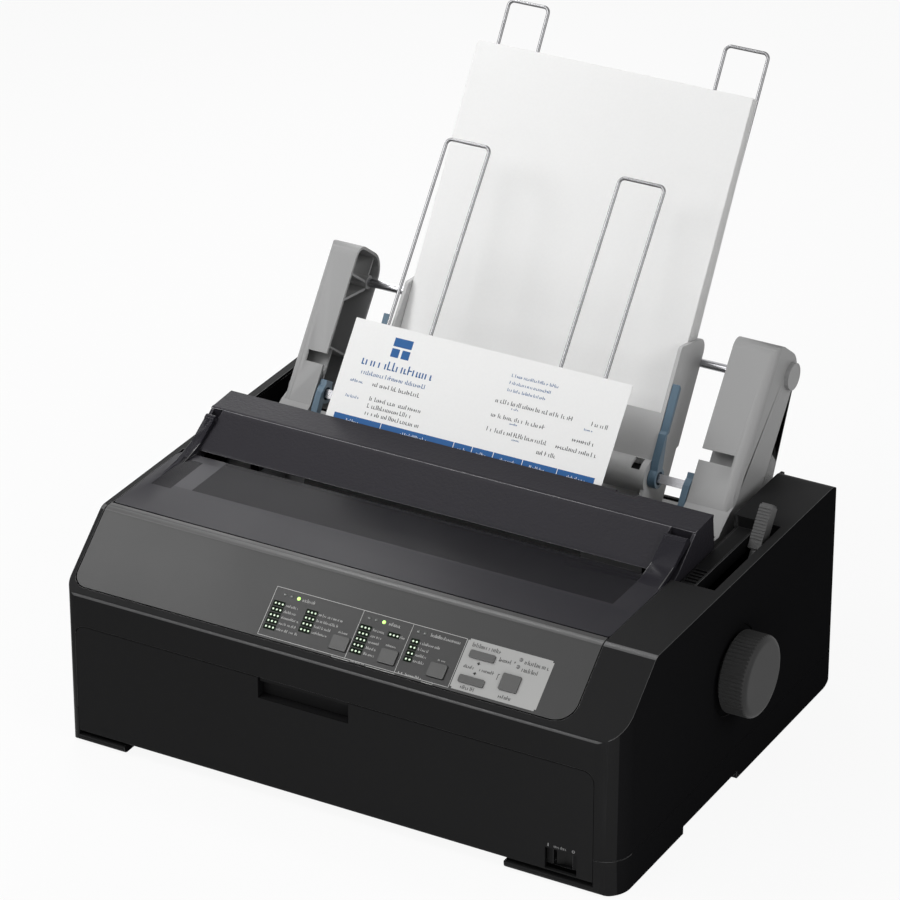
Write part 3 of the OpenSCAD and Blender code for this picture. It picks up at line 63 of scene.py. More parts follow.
eye_azimuth = radians(29.19)
eye_height = radians(27.51)
eye_distance = 3.1256
aim = machine(-20.9, 188.9, 178.1)
toward_eye = Vector((sin(eye_azimuth) * cos(eye_height),
                     -cos(eye_azimuth) * cos(eye_height), sin(eye_height)))
eye = bpy.data.cameras.new("studio_camera")
eye.sensor_width = 36
eye.lens = 188.77
eye.clip_end = 50
camera = bpy.data.objects.new("studio_camera", eye)
bpy.context.scene.collection.objects.link(camera)
camera.location = aim + toward_eye * eye_distance
camera.rotation_euler = (-toward_eye).to_track_quat("-Z", "Y").to_euler()
bpy.context.scene.camera = camera
bpy.context.scene.view_settings.view_transform = "Standard"


def sight_rays(nodes, links):
    """A mask of the rays that look at a surface: straight, in a mirror or through glass."""
    ray = nodes.new("ShaderNodeLightPath")
    mirrored = nodes.new("ShaderNodeMath")
    mirrored.operation = "ADD"
    links.new(ray.outputs["Is Camera Ray"], mirrored.inputs[0])
    links.new(ray.outputs["Is Glossy Ray"], mirrored.inputs[1])
    through = nodes.new("ShaderNodeMath")
    through.operation = "ADD"
    through.use_clamp = True
    links.new(mirrored.outputs[0], through.inputs[0])
    links.new(ray.outputs["Is Transmission Ray"], through.inputs[1])
    return through.outputs[0]


floor_grey = 0.7
floor_glow = 0.92
bpy.ops.object.select_all(action="DESELECT")
bpy.ops.mesh.primitive_plane_add(size=14, location=(0, 0, 0))
floor = bpy.context.object
floor.name = "studio_floor"
floor_paint = bpy.data.materials.new("studio_floor")
floor_paint.use_nodes = True
links = floor_paint.node_tree.links
nodes = floor_paint.node_tree.nodes
nodes.clear()
surface = nodes.new("ShaderNodeBsdfDiffuse")
surface.inputs["Color"].default_value = (floor_grey, floor_grey, floor_grey, 1)
white = nodes.new("ShaderNodeEmission")
white.inputs["Color"].default_value = (1, 1, 1, 1)
seen = nodes.new("ShaderNodeMath")
seen.operation = "MULTIPLY"
seen.inputs[1].default_value = floor_glow
mix = nodes.new("ShaderNodeMixShader")
end = nodes.new("ShaderNodeOutputMaterial")
links.new(sight_rays(nodes, links), seen.inputs[0])
links.new(seen.outputs[0], mix.inputs[0])
links.new(surface.outputs[0], mix.inputs[1])
links.new(white.outputs[0], mix.inputs[2])
links.new(mix.outputs[0], end.inputs[0])
floor.data.materials.append(floor_paint)

world = bpy.data.worlds.new("studio_air")
bpy.context.scene.world = world
world.use_nodes = True
links = world.node_tree.links
nodes = world.node_tree.nodes
air = nodes["Background"]
air.inputs["Color"].default_value = (1, 1, 1, 1)
strength = nodes.new("ShaderNodeMapRange")
strength.inputs["To Min"].default_value = 0.23
strength.inputs["To Max"].default_value = 1.0
links.new(sight_rays(nodes, links), strength.inputs["Value"])
links.new(strength.outputs[0], air.inputs["Strength"])

lamp_aim = Vector((0, 0, 0.15))
for name, place, size, power in (
    ("lamp_front", (-0.5, -1.8, 2.9), 1.8, 21),
    ("lamp_over_left", (-0.9, -0.62, 1.1), 0.5, 8),
    ("lamp_behind_left", (-0.62, 0.78, 0.66), 0.4, 2.0),
    ("lamp_above", (-0.47, 0.2, 1.15), 0.2, 2.2),
    ("lamp_ahead", (-0.69, -1.58, 0.58), 0.2, 1.4),
    ("lamp_low", (0.34, -0.52, 0.1), 0.2, 0.5),
    ("lamp_right", (2.2, -0.3, 1.4), 1.4, 18),
):
    lamp = bpy.data.lights.new(name, "AREA")
    lamp.size = size
    lamp.energy = power
    holder = bpy.data.objects.new(name, lamp)
    bpy.context.scene.collection.objects.link(holder)
    holder.location = place
    holder.rotation_euler = (lamp_aim - Vector(place)).to_track_quat("-Z", "Y").to_euler()
    holder.visible_camera = False

# The case: two black mouldings with a fine sandblasted skin, an upper one that holds the
# panel and covers, and a shallow tray with four feet. Their corners are slightly rounded
# by the mould, so each CAD solid is copied and its sharp edges are eased.
gloss_wander = 0.12
darkest_mottle = 0.97


def plastic_skin():
    """The grain, faint mottling and uneven gloss that every moulding here shares."""
    group = bpy.data.node_groups.new("plastic_skin", "ShaderNodeTree")
    add = group.interface.new_socket
    add("Colour", in_out="INPUT", socket_type="NodeSocketColor")
    for name, value in (("Grain", 900.0), ("Mottle", 0.06), ("Gloss", 0.5)):
        add(name, in_out="INPUT", socket_type="NodeSocketFloat").default_value = value
    add("Colour", in_out="OUTPUT", socket_type="NodeSocketColor")
    add("Roughness", in_out="OUTPUT", socket_type="NodeSocketFloat")
    add("Height", in_out="OUTPUT", socket_type="NodeSocketFloat")
    nodes = group.nodes
    links = group.links
    given = nodes.new("NodeGroupInput")
    result = nodes.new("NodeGroupOutput")
    where = nodes.new("ShaderNodeTexCoord")
    grain = nodes.new("ShaderNodeTexNoise")
    grain.inputs["Detail"].default_value = 3
    cloud = nodes.new("ShaderNodeTexNoise")
    cloud.inputs["Scale"].default_value = 14
    cloud.inputs["Detail"].default_value = 5
    links.new(where.outputs["Object"], grain.inputs["Vector"])
    links.new(where.outputs["Object"], cloud.inputs["Vector"])
    links.new(given.outputs["Grain"], grain.inputs["Scale"])
    links.new(grain.outputs["Fac"], result.inputs["Height"])
    # Colour wanders a little to both sides of the moulding's own
    spread = nodes.new("ShaderNodeMath")
    spread.operation = "MULTIPLY_ADD"
    links.new(cloud.outputs["Fac"], spread.inputs[0])
    links.new(given.outputs["Mottle"], spread.inputs[1])
    spread.inputs[2].default_value = darkest_mottle
    # A Mix node's colour sockets share their names with others, so they go by number
    colour_a, colour_b, mixed_colour = 6, 7, 2
    tint = nodes.new("ShaderNodeMix")
    tint.data_type = "RGBA"
    tint.blend_type = "MULTIPLY"
    tint.inputs["Factor"].default_value = 1
    links.new(given.outputs["Colour"], tint.inputs[colour_a])
    links.new(spread.outputs[0], tint.inputs[colour_b])
    links.new(tint.outputs[mixed_colour], result.inputs["Colour"])
    rough = nodes.new("ShaderNodeMath")
    rough.operation = "MULTIPLY_ADD"
    rough.inputs[1].default_value = gloss_wander
    links.new(cloud.outputs["Fac"], rough.inputs[0])
    links.new(given.outputs["Gloss"], rough.inputs[2])
    links.new(rough.outputs[0], result.inputs["Roughness"])
    return group


skin_group = plastic_skin()


def moulding(name, colour, rough, grain=900, bump=0.12, specular=0.35, mottle=0.08):
    """A moulded plastic of one colour."""
    paint = bpy.data.materials.new(name)
    paint.use_nodes = True
    nodes = paint.node_tree.nodes
    links = paint.node_tree.links
    shader = nodes["Principled BSDF"]
    shader.inputs["Specular IOR Level"].default_value = specular
    skin = nodes.new("ShaderNodeGroup")
    skin.node_tree = skin_group
    skin.inputs["Colour"].default_value = (*colour, 1)
    skin.inputs["Grain"].default_value = grain
    skin.inputs["Mottle"].default_value = mottle
    skin.inputs["Gloss"].default_value = rough - gloss_wander / 2
    relief = nodes.new("ShaderNodeBump")
    relief.inputs["Strength"].default_value = bump
    relief.inputs["Distance"].default_value = 0.0004
    links.new(skin.outputs["Colour"], shader.inputs["Base Color"])
    links.new(skin.outputs["Roughness"], shader.inputs["Roughness"])
    links.new(skin.outputs["Height"], relief.inputs["Height"])
    links.new(relief.outputs[0], shader.inputs["Normal"])
    return paint


def body_of(node):
    """The rigid body that a CAD node belongs to."""
    for body, members in frame["record"]["behaviour"]["bodies"].items():
        if node in members:
            return body


def dress(paint, *names):
    """Gives CAD nodes that keep their own shape their real finish."""
    for name in names:
        node = frame["nodes"][name]
        for place in node.material_slots:
            place.material = paint


weld_gap = 0.000004
flat_angle = radians(0.4)
sharp_angle = radians(32)
smooth_angle = radians(28)
edge_room = 1.6
on_wall = 0
on_rim = 1


def merged_copy(node, finishes):
    """A copy of a CAD node, its loose triangles merged into whole faces."""
    source = frame["nodes"][node]
    piece = bpy.data.objects.new(node + "_eased", source.data.copy())
    bpy.context.scene.collection.objects.link(piece)
    piece.matrix_world = source.matrix_world.copy()
    bpy.ops.object.select_all(action="DESELECT")
    piece.select_set(True)
    bpy.context.view_layer.objects.active = piece
    piece.data.materials.clear()
    for finish in finishes:
        piece.data.materials.append(finish)
    bpy.ops.object.mode_set(mode="EDIT")
    bpy.ops.mesh.select_all(action="SELECT")
    bpy.ops.mesh.remove_doubles(threshold=weld_gap)
    bpy.ops.mesh.dissolve_limited(angle_limit=flat_angle)
    bpy.ops.mesh.select_all(action="DESELECT")
    bpy.ops.mesh.select_mode(type="EDGE")
    bpy.ops.object.mode_set(mode="OBJECT")
    return piece


def select_sharp(mesh, width):
    """Selects the sharp edges whose neighbours leave room to round them to that width."""
    corners = [v.co for v in mesh.vertices]
    shortest = [1.0] * len(corners)
    for edge in mesh.edges:
        length = (corners[edge.vertices[0]] - corners[edge.vertices[1]]).length
        for v in edge.vertices:
            shortest[v] = min(shortest[v], length)
    sides = {}
    for face in mesh.polygons:
        for key in face.edge_keys:
            sides.setdefault(key, []).append(face)
    for edge in mesh.edges:
        faces = sides.get(edge.key, [])
        if len(faces) != 2:
            continue
        if faces[0].normal.angle(faces[1].normal, 0) < sharp_angle:
            continue
        if min(shortest[v] for v in edge.vertices) > edge_room * width:
            edge.select = True


def eased(node, paint, width, rim=None, zones=(), reshape=None):
    """A merged copy of a CAD node whose long sharp edges are rounded to width, in mm. The
    rounded rims can have a finish of their own, and so can the zones: faces, from the walls
    or from the rims, that face one way. Here these finishes paint light and shade: paler
    highlights on rims and folds, near black seam shade on rims, and darker or paler walls."""
    width = width / 1000
    piece = merged_copy(node, [paint, rim] if rim else [paint])
    if reshape:
        reshape(piece.data)
    select_sharp(piece.data, width)
    bpy.ops.object.mode_set(mode="EDIT")
    bpy.ops.mesh.bevel(offset=width, segments=2, profile=0.5, clamp_overlap=True,
                       material=on_rim if rim else -1)
    bpy.ops.mesh.select_all(action="SELECT")
    bpy.ops.object.mode_set(mode="OBJECT")
    bpy.ops.object.shade_smooth_by_angle(angle=smooth_angle)
    for kind, finish, way, least in zones:
        piece.data.materials.append(finish)
        for face in piece.data.polygons:
            if face.material_index == kind and face.normal.dot(Vector(way)) > least:
                face.material_index = len(piece.data.materials) - 1
    shading = piece.modifiers.new("face_normals", "WEIGHTED_NORMAL")
    shading.keep_sharp = True
    bpy.ops.object.modifier_apply(modifier="face_normals")
    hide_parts(node)
    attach(piece, body_of(node))
    return piece


black_case = moulding("black_case", (0.0095, 0.0095, 0.0098), 0.5, grain=1500, specular=0.05)
# Painted light and shade: the front walls are painted a slightly paler black, and the side walls a
# darker matte black, for the light that falls on them.
black_front_painted_light = moulding("black_front_painted_light", (0.0105, 0.0105, 0.0108), 0.46, grain=1500, specular=0.05)
black_side_painted_shade = moulding("black_side_painted_shade", (0.0075, 0.0075, 0.008), 0.62, grain=1200, specular=0.0)
# Painted highlight: a paler, glossier black for the eased rims and the two folds.
painted_highlight_black = moulding("painted_highlight_black", (0.03, 0.03, 0.031), 0.3, grain=1500, specular=0.6)
# The front wall turns into the panel's slope, and the slope into the deck, at two folds
# that are already round in the CAD model, so they are found by the way they face. They get
# a painted highlight: a paler, glossier black than the walls. The side walls get painted
# shade, a darker matte black, and the front walls painted light, a slightly paler black.
low_fold = (0, -0.906, 0.42)
high_fold = (0, -0.345, 0.938)
near_fold = 0.96
sideways = 0.8
forwards = 0.4
case_zones = ((on_wall, black_side_painted_shade, (1, 0, 0), sideways),
              (on_wall, black_side_painted_shade, (-1, 0, 0), sideways),
              (on_wall, painted_highlight_black, low_fold, near_fold),
              (on_wall, painted_highlight_black, high_fold, near_fold),
              (on_wall, black_front_painted_light, (0, -1, 0), forwards))
eased("upper_case", black_case, 0.65, painted_highlight_black, case_zones)
eased("lower_case", black_case, 0.8, painted_highlight_black, case_zones)

# The rubber parts: soft black feet pressed into the tray, the platen's ground sleeve, the
# tyres of the bail and feed rollers, and the moulded belt that pulls the carriage.
pad_rubber = moulding("pad_rubber", (0.012, 0.012, 0.012), 0.8, grain=400, specular=0.2)
dress(pad_rubber, "rubber_feet", "platen_roller", "bail_rollers", "carriage_belt",
      "feed_roller_right", "feed_roller_left")

# The control panel: a satin dark grey moulding that wraps over the ridge, with printed
# frames, a pale label plate, lamps and six push buttons.
panel_grey = moulding("panel_grey", (0.021, 0.021, 0.021), 0.38, grain=1800, specular=0.24)
# Painted highlight: a paler, glossier grey on the panel's ridge fold and on the buttons' rims.
painted_highlight_grey = moulding("painted_highlight_grey", (0.05, 0.05, 0.05), 0.34, grain=1800, specular=0.5)
# Painted shade: the panel's and the door's eased rims are painted near black, so the seams round
# them show as dark gaps.
painted_seam_shade = moulding("painted_seam_shade", (0.004, 0.004, 0.004), 0.8, grain=900, specular=0.0)
eased("control_panel", panel_grey, 0.48, painted_seam_shade,
      [(on_wall, painted_highlight_grey, high_fold, near_fold)])
button_grey = moulding("button_grey", (0.036, 0.036, 0.035), 0.42, grain=1500, specular=0.4)
for key in ("font", "pitch", "tear_off", "load", "feed", "pause"):
    eased(key + "_button", button_grey, 0.5, painted_highlight_grey)

face_height = 113
slope = radians(40.7)
panel_origin = machine(0, 0, face_height)
across = Vector((1, 0, 0))
up_slope = Vector((0, cos(slope), sin(slope)))


def copied(first):
    """A copy of a finished piece with a mesh of its own."""
    piece = bpy.data.objects.new(first.name, first.data.copy())
    bpy.context.scene.collection.objects.link(piece)
    return piece


def joined(name, parts):
    """Several parts made into one piece."""
    bpy.ops.object.select_all(action="DESELECT")
    for part in parts:
        part.select_set(True)
    bpy.context.view_layer.objects.active = parts[0]
    bpy.ops.object.join()
    piece = bpy.context.object
    piece.name = name
    return piece


def lay(piece, origin, across, up, paint):
    """Turns a piece made flat on the floor on to its surface, and gives it its finish."""
    turn = Matrix((across, up, across.cross(up))).transposed().to_4x4()
    turn.translation = origin
    piece.data.transform(turn)
    piece.data.materials.clear()
    piece.data.materials.append(paint)


def inked(name, marks, origin, across, up, lift, paint, body):
    """Flat printed marks, each as left, low, right and top in the surface's millimetres."""
    bpy.ops.mesh.primitive_plane_add(size=1, location=(0, 0, 0))
    stamp = bpy.context.object
    parts = []
    for left, low, right, top in marks:
        part = copied(stamp)
        place = Matrix((((right - left) / 1000, 0, 0, (left + right) / 2000),
                        (0, (top - low) / 1000, 0, (low + top) / 2000),
                        (0, 0, 1, lift / 1000), (0, 0, 0, 1)))
        part.data.transform(place)
        parts.append(part)
    bpy.data.objects.remove(stamp)
    piece = joined(name, parts)
    lay(piece, origin, across, up, paint)
    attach(piece, body)


def frame_marks(left, low, right, top, line):
    """The four sides of a ruled rectangle."""
    return [(left, low, right, low + line), (left, top - line, right, top),
            (left, low, left + line, top), (right - line, low, right, top)]


letter_widths = (0.42, 0.42, 0.6, 0.85)
letter_heights = (0.62, 0.62, 0.7, 1)
letter_gap = 0.2
word_gap = 0.9
narrowest_letter = 0.4
word_ends = 0.12
crossed_letters = 0.55
cross_weight = 0.8


def fine_print(left, low, right, height, weight=0.28, spread=1.0):
    """Small print seen from too far to read: upright strokes of uneven height and gap."""
    strokes = []
    pick = random.Random(left * 7 + low)
    while left < right - narrowest_letter * spread:
        step = spread * pick.choice(letter_widths)
        rise = height * pick.choice(letter_heights)
        strokes.append((left, low, left + weight, low + rise))
        if pick.random() < crossed_letters:
            base = pick.choice((0, 0.5)) * (rise - cross_weight * weight)
            strokes.append((left, low + base, left + step, low + base + cross_weight * weight))
        left += step + spread * (word_gap if pick.random() < word_ends else letter_gap)
    return strokes


# The panel's frame with its two dividing lines, the headings over the lamps, the rows
# beside them, and the brackets under the buttons, all screen printed in pale ink.
ink_lift = 0.06
row_pitch = 4.15
first_row = 30.4
pale_ink = moulding("pale_ink", (0.42, 0.42, 0.41), 0.5, grain=2500, bump=0.05)
marks = frame_marks(-60.5, 8, 79.8, 42.4, 0.34)
marks += [(4.2, 8.3, 4.5, 42.1), (40.6, 8.3, 40.9, 42.1)]
marks += fine_print(-39.5, 36.7, -30, 2.5) + fine_print(24.3, 36.9, 33.2, 2.5)
marks += fine_print(54.8, 37.2, 76.6, 2.4)
for left, rights in ((-48.9, (-40, -40, -36.5, -36.6, -33)), (-24.5, (-7, -8.8, -12.4, -13)),
                     (15.5, (23.8, 23.7, 23.4, 23, 23.5)), (50, (64.6, 57.6, 57.7, 58.2))):
    for row, right in enumerate(rights):
        marks += fine_print(left, first_row - row_pitch * row, right, 1.9)
marks += fine_print(35, first_row, 38.6, 1.9)
marks += fine_print(-6.9, 23.2, 0, 1.5) + fine_print(27.9, 23.4, 35.2, 1.5)
marks += fine_print(66, 23.2, 71.2, 1.5) + fine_print(9, 7.2, 19.4, 1.5)
marks += fine_print(48.4, 8.3, 60, 1.5)
for left, right in ((-4.8, 8.2), (20.3, 30.6), (31.2, 41.4), (60.6, 68.6)):
    marks.append((left, 6.8, right, 7.1))
marks += [(-4.8, 6.8, -4.5, 8.2), (68.3, 6.8, 68.6, 8.2)]
marks += [(43.1, 8.6, 43.9, 9.4), (45.4, 8.6, 46.2, 9.4)]
inked("panel_print", marks, panel_origin, across, up_slope, ink_lift, pale_ink,
      "case")

# Each column of row lamps shows through small dark windows.
window_lift = 0.05
window_top = 33.1
window_height = 3.6


def window_column(left, right, rows):
    """The dark windows of one column, from the top row down."""
    tops = [window_top - row_pitch * row for row in range(rows)]
    return [(left, top - window_height, right, top) for top in tops]


window_ink = moulding("window_ink", (0.002, 0.006, 0.002), 0.5, grain=2500, bump=0.03,
                      specular=0.02)
windows = window_column(-58.6, -50, 5) + window_column(-34.2, -25.6, 4)
windows += window_column(5.4, 14.2, 5) + [(26.2, 29.7, 34.8, window_top)]
windows += window_column(43, 49, 4)
inked("lamp_windows", windows, panel_origin, across, up_slope, window_lift, window_ink,
      "case")

# The label plate is a thin pale foil with cut corners, stuck round three buttons.
foil_lift = 0.04
plate_grey = moulding("plate_grey", (0.36, 0.36, 0.355), 0.5, grain=1600, bump=0.06,
                      specular=0.15)
inked("label_plate", [(80.5, 9.6, 141.8, 42), (81.7, 8.4, 140.6, 9.6), (81.7, 42, 140.6, 43.2)],
      panel_origin, across, up_slope, foil_lift, plate_grey, "case")

# The lamps are small round lenses sunk in the panel: two lit green ones over the columns,
# unlit ones beside them, two on the label plate, and rows of dots in the windows.
facing = 0.9
lens_depth = 2
speck_shade = 0.75


def lens(name, spots, glow, colour, radius, rise=0.3):
    """Small round lamp lenses, modelled once and copied to each spot on the panel."""
    paint = bpy.data.materials.new(name)
    paint.use_nodes = True
    nodes = paint.node_tree.nodes
    links = paint.node_tree.links
    shader = nodes["Principled BSDF"]
    shader.inputs["Roughness"].default_value = 0.25
    shader.inputs["Emission Strength"].default_value = glow
    shader.inputs["Emission Color"].default_value = (*colour, 1)
    where = nodes.new("ShaderNodeTexCoord")
    speck = nodes.new("ShaderNodeTexNoise")
    speck.inputs["Scale"].default_value = 700
    tone = nodes.new("ShaderNodeValToRGB")
    tone.color_ramp.elements[0].color = (*[speck_shade * c for c in colour], 1)
    tone.color_ramp.elements[1].color = (*colour, 1)
    links.new(where.outputs["Object"], speck.inputs["Vector"])
    links.new(speck.outputs["Fac"], tone.inputs["Fac"])
    links.new(tone.outputs[0], shader.inputs["Base Color"])
    bpy.ops.mesh.primitive_cylinder_add(vertices=20, radius=radius / 1000,
                                        depth=lens_depth / 1000, location=(0, 0, 0))
    first = bpy.context.object
    bpy.ops.object.mode_set(mode="EDIT")
    bpy.ops.mesh.select_all(action="DESELECT")
    bpy.ops.object.mode_set(mode="OBJECT")
    for face in first.data.polygons:
        face.select = face.normal.z > facing
    bpy.ops.object.mode_set(mode="EDIT")
    bpy.ops.mesh.bevel(offset=0.00035, segments=2)
    bpy.ops.object.mode_set(mode="OBJECT")
    parts = []
    for x, along in spots:
        part = copied(first)
        out = rise - lens_depth / 2
        part.data.transform(Matrix.Translation((x / 1000, along / 1000, out / 1000)))
        parts.append(part)
    bpy.data.objects.remove(first)
    piece = joined(name, parts)
    lay(piece, panel_origin, across, up_slope, paint)
    bpy.ops.object.shade_smooth_by_angle(angle=radians(40))
    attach(piece, "case")


dot_gap = 2.62


def dot_block(x, along, columns, rows):
    """The places of a block of dots, from its upper left one."""
    return [(x + i * dot_gap, along - j * row_pitch) for i in range(columns) for j in range(rows)]


lit = [(-42.5, 37.9), (20.5, 38.1)]
unlit = [(x, 38.1) for x in (-52.6, -47.7, 9.8, 14.9, 45.8, 50.6)]
dots = dot_block(-56.9, 31.3, 3, 5) + dot_block(-32.5, 31.3, 3, 4) + dot_block(7.1, 31.3, 3, 5)
dots += dot_block(27.9, 31.4, 3, 1) + dot_block(44.7, 31.3, 2, 4)
lens("lit_lamps", lit, 1.4, (0.42, 0.85, 0.16), 1.25)
lens("unlit_lamps", unlit, 0.0, (0.045, 0.05, 0.045), 1.25)
lens("plate_lamps", [(119.6, 38.4), (119.4, 33.4)], 0.0, (0.12, 0.12, 0.12), 1.4)
lens("dot_lamps", dots, 0.4, (0.62, 0.74, 0.58), 0.78, 0.16)

# The foil is printed in dark ink: captions for its buttons and lamps, a bracket, a tick
# and two small crosses.
foil_ink_lift = 0.1
dark_ink = moulding("dark_ink", (0.02, 0.02, 0.02), 0.6, grain=2500, bump=0.05, specular=0.1)
marks = []
for left, low, right, height in ((84.4, 38.4, 104.6, 3), (105.6, 33.6, 114.8, 2.8),
                                 (122.6, 36.2, 140.2, 3), (122.6, 31, 133.8, 3),
                                 (84.2, 23.8, 91.4, 2.4), (95.4, 23.8, 106.4, 2.4),
                                 (87.4, 9.8, 97.4, 2.6), (114.2, 10.6, 123, 2.6)):
    marks += fine_print(left, low, right, height, 0.4, 1.35)
marks += [(116, 35, 116.7, 36.2), (108.6, 21.4, 109, 25.6), (108.6, 25.2, 109.8, 25.6)]
for along in (28.4, 21.6):
    marks += [(92.2, along - 0.3, 94.4, along + 0.3), (92.9, along - 1, 93.7, along + 1)]
inked("plate_print", marks, panel_origin, across, up_slope, foil_ink_lift, dark_ink,
      "case")

# The circuit boards: green lacquered glass fibre, one behind the panel with its lamps and
# key switches, and the main one flat in the tray.
dress(moulding("board_lacquer", (0.02, 0.1, 0.04), 0.35, grain=300), "panel_board", "main_board")

# The front door: one black moulding hinged at its foot, with a finger pocket in its top
# edge and a window for the power rocker, whose I and O marks are printed above it.
# The door's rims get the painted seam shade, and its walls the case's painted shade, light and
# highlights.
eased("front_door", black_case, 0.65, painted_seam_shade, case_zones)
eased("power_rocker", moulding("rocker_black", (0.007, 0.007, 0.007), 0.3, specular=0.12), 0.4)
switch_lift = 0.03
switch_ink = moulding("switch_ink", (0.26, 0.26, 0.26), 0.5, grain=2500)
marks = [(155.1, 27.5, 155.7, 29.9)] + fine_print(159.4, 27.7, 168.6, 2.1)
inked("switch_print", marks, machine(0, 0, 0), across, Vector((0, 0, 1)), switch_lift,
      switch_ink, "door")
bpy.ops.object.select_all(action="DESELECT")
bpy.ops.mesh.primitive_circle_add(vertices=32, radius=0.001, fill_type="NGON",
                                  location=(0, 0, 0))
ring = bpy.context.object
ring.name = "switch_ring"
bpy.ops.object.mode_set(mode="EDIT")
bpy.ops.mesh.inset(thickness=0.00035)
bpy.ops.mesh.delete(type="FACE")
bpy.ops.object.mode_set(mode="OBJECT")
ring.data.transform(Matrix.Translation(machine(173.4, -switch_lift, 28.6))
                    @ Matrix.Rotation(radians(90), 4, "X"))
ring.data.materials.append(switch_ink)
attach(ring, "door")

# The smoked cover: a clear grey plate over the print head, polished on the outside, that
# hinges on two pins of the tear-off cover behind it.


def smoked(name, tone, shine):
    """The cover's clear grey plastic, deeper or paler by its tone, which paints shade and
    reflection on it.
    """
    sheet = moulding(name, (0.02 * tone, 0.019 * tone, 0.024 * tone), 0.3, grain=300,
                     bump=0.01, specular=shine)
    sheet.node_tree.nodes["Principled BSDF"].inputs["Alpha"].default_value = 0.9
    return sheet


smoked_sheet = smoked("smoked_sheet", 1.0, 0.06)
smoked_window_painted_shade = smoked("smoked_window_painted_shade", 0.5, 0.028)
smoked_strip_painted_reflection = smoked("smoked_strip_painted_reflection", 1.3, 0.08)
# The cover's eased rims take the painted highlight black.
cover = eased("front_cover", smoked_sheet, 0.6, painted_highlight_black)

# Its rear part is a window, with a second small window at the left end and a strip between
# the two. The windows are painted darker than the band in front of them, as painted shade
# of the dark inside seen through the clear plastic, and the strip is painted paler, as a
# painted reflection. Their outlines, given as left, right, near and far, are cut into the
# sheet's face.
window = (-164, 150, 94.5, 139)
end_window = (-193, -178, 90, 131)
strip = (-178, -164, 94.5, 131)
bpy.ops.object.select_all(action="DESELECT")
cover.select_set(True)
bpy.context.view_layer.objects.active = cover
bpy.ops.object.mode_set(mode="EDIT")
for x in sorted({*window[:2], *end_window[:2], *strip[:2]}):
    bpy.ops.mesh.select_all(action="SELECT")
    bpy.ops.mesh.bisect(plane_co=machine(x, 0, 0), plane_no=(1, 0, 0))
for y in sorted({*window[2:], *end_window[2:], *strip[2:]}):
    bpy.ops.mesh.select_all(action="SELECT")
    bpy.ops.mesh.bisect(plane_co=machine(0, y, 0), plane_no=(0, 1, 0))
bpy.ops.object.mode_set(mode="OBJECT")
for finish, areas in ((smoked_window_painted_shade, (window, end_window)), (smoked_strip_painted_reflection, (strip,))):
    cover.data.materials.append(finish)
    for left, right, near, far in areas:
        low = machine(left, near, 0)
        high = machine(right, far, 0)
        for face in cover.data.polygons:
            at = face.center
            if face.normal.z > facing and low.x < at.x < high.x and low.y < at.y < high.y:
                face.material_index = len(cover.data.materials) - 1

# The tear-off cover: a dark moulding with a coarser skin that crosses the whole machine
# behind the smoked cover. It rests on the case, lifts off by hand and has the smoked
# cover's two pins in its ends.
hump_grey = moulding("hump_grey", (0.019, 0.018, 0.022), 0.42, grain=450, bump=0.5,
                     specular=0.08, mottle=0.3)
# Painted highlight: the tear-off cover's eased rims are painted a much paler, glossier grey.
painted_highlight_hump = moulding("painted_highlight_hump", (0.11, 0.107, 0.118), 0.28, grain=900, specular=0.9)
eased("tear_off_cover", hump_grey, 0.55, painted_highlight_hump)

# The platen's knob, the ribbon's small knob and the two hand levers: satin dark grey
# mouldings. The platen's knob is pushed on to its shaft, and the levers turn on pegs.
lever_grey = moulding("lever_grey", (0.035, 0.035, 0.035), 0.5, grain=1200, bump=0.15,
                      specular=0.1)
dress(lever_grey, "platen_knob", "thickness_lever", "ribbon_knob")
eased("release_lever", moulding("release_grey", (0.05, 0.05, 0.05), 0.5, grain=1200), 0.5)

# Metal parts: ground steel shafts and rods, the folded sheet steel chassis, drawn motor
# cans, the cast print head and the bright bent wires that hold the paper. Each keeps the
# fine lines that grinding, rolling or drawing left on it.
line_shade = 0.82
least_haze = 0.8
most_haze = 1.25


def metal(name, colour, rough, streak):
    """A bare metal with fine drawn lines along the machine's width."""
    paint = bpy.data.materials.new(name)
    paint.use_nodes = True
    nodes = paint.node_tree.nodes
    links = paint.node_tree.links
    shader = nodes["Principled BSDF"]
    shader.inputs["Metallic"].default_value = 1
    where = nodes.new("ShaderNodeTexCoord")
    stretch = nodes.new("ShaderNodeMapping")
    stretch.inputs["Scale"].default_value = (30, streak, streak)
    lines = nodes.new("ShaderNodeTexNoise")
    lines.inputs["Scale"].default_value = 1
    lines.inputs["Detail"].default_value = 4
    tone = nodes.new("ShaderNodeValToRGB")
    tone.color_ramp.elements[0].position = 0.3
    tone.color_ramp.elements[0].color = (*[line_shade * c for c in colour], 1)
    tone.color_ramp.elements[1].position = 0.7
    tone.color_ramp.elements[1].color = (*colour, 1)
    haze = nodes.new("ShaderNodeMapRange")
    haze.inputs["To Min"].default_value = rough * least_haze
    haze.inputs["To Max"].default_value = rough * most_haze
    links.new(where.outputs["Object"], stretch.inputs["Vector"])
    links.new(stretch.outputs[0], lines.inputs["Vector"])
    links.new(lines.outputs["Fac"], tone.inputs["Fac"])
    links.new(tone.outputs[0], shader.inputs["Base Color"])
    links.new(lines.outputs["Fac"], haze.inputs["Value"])
    links.new(haze.outputs[0], shader.inputs["Roughness"])
    return paint


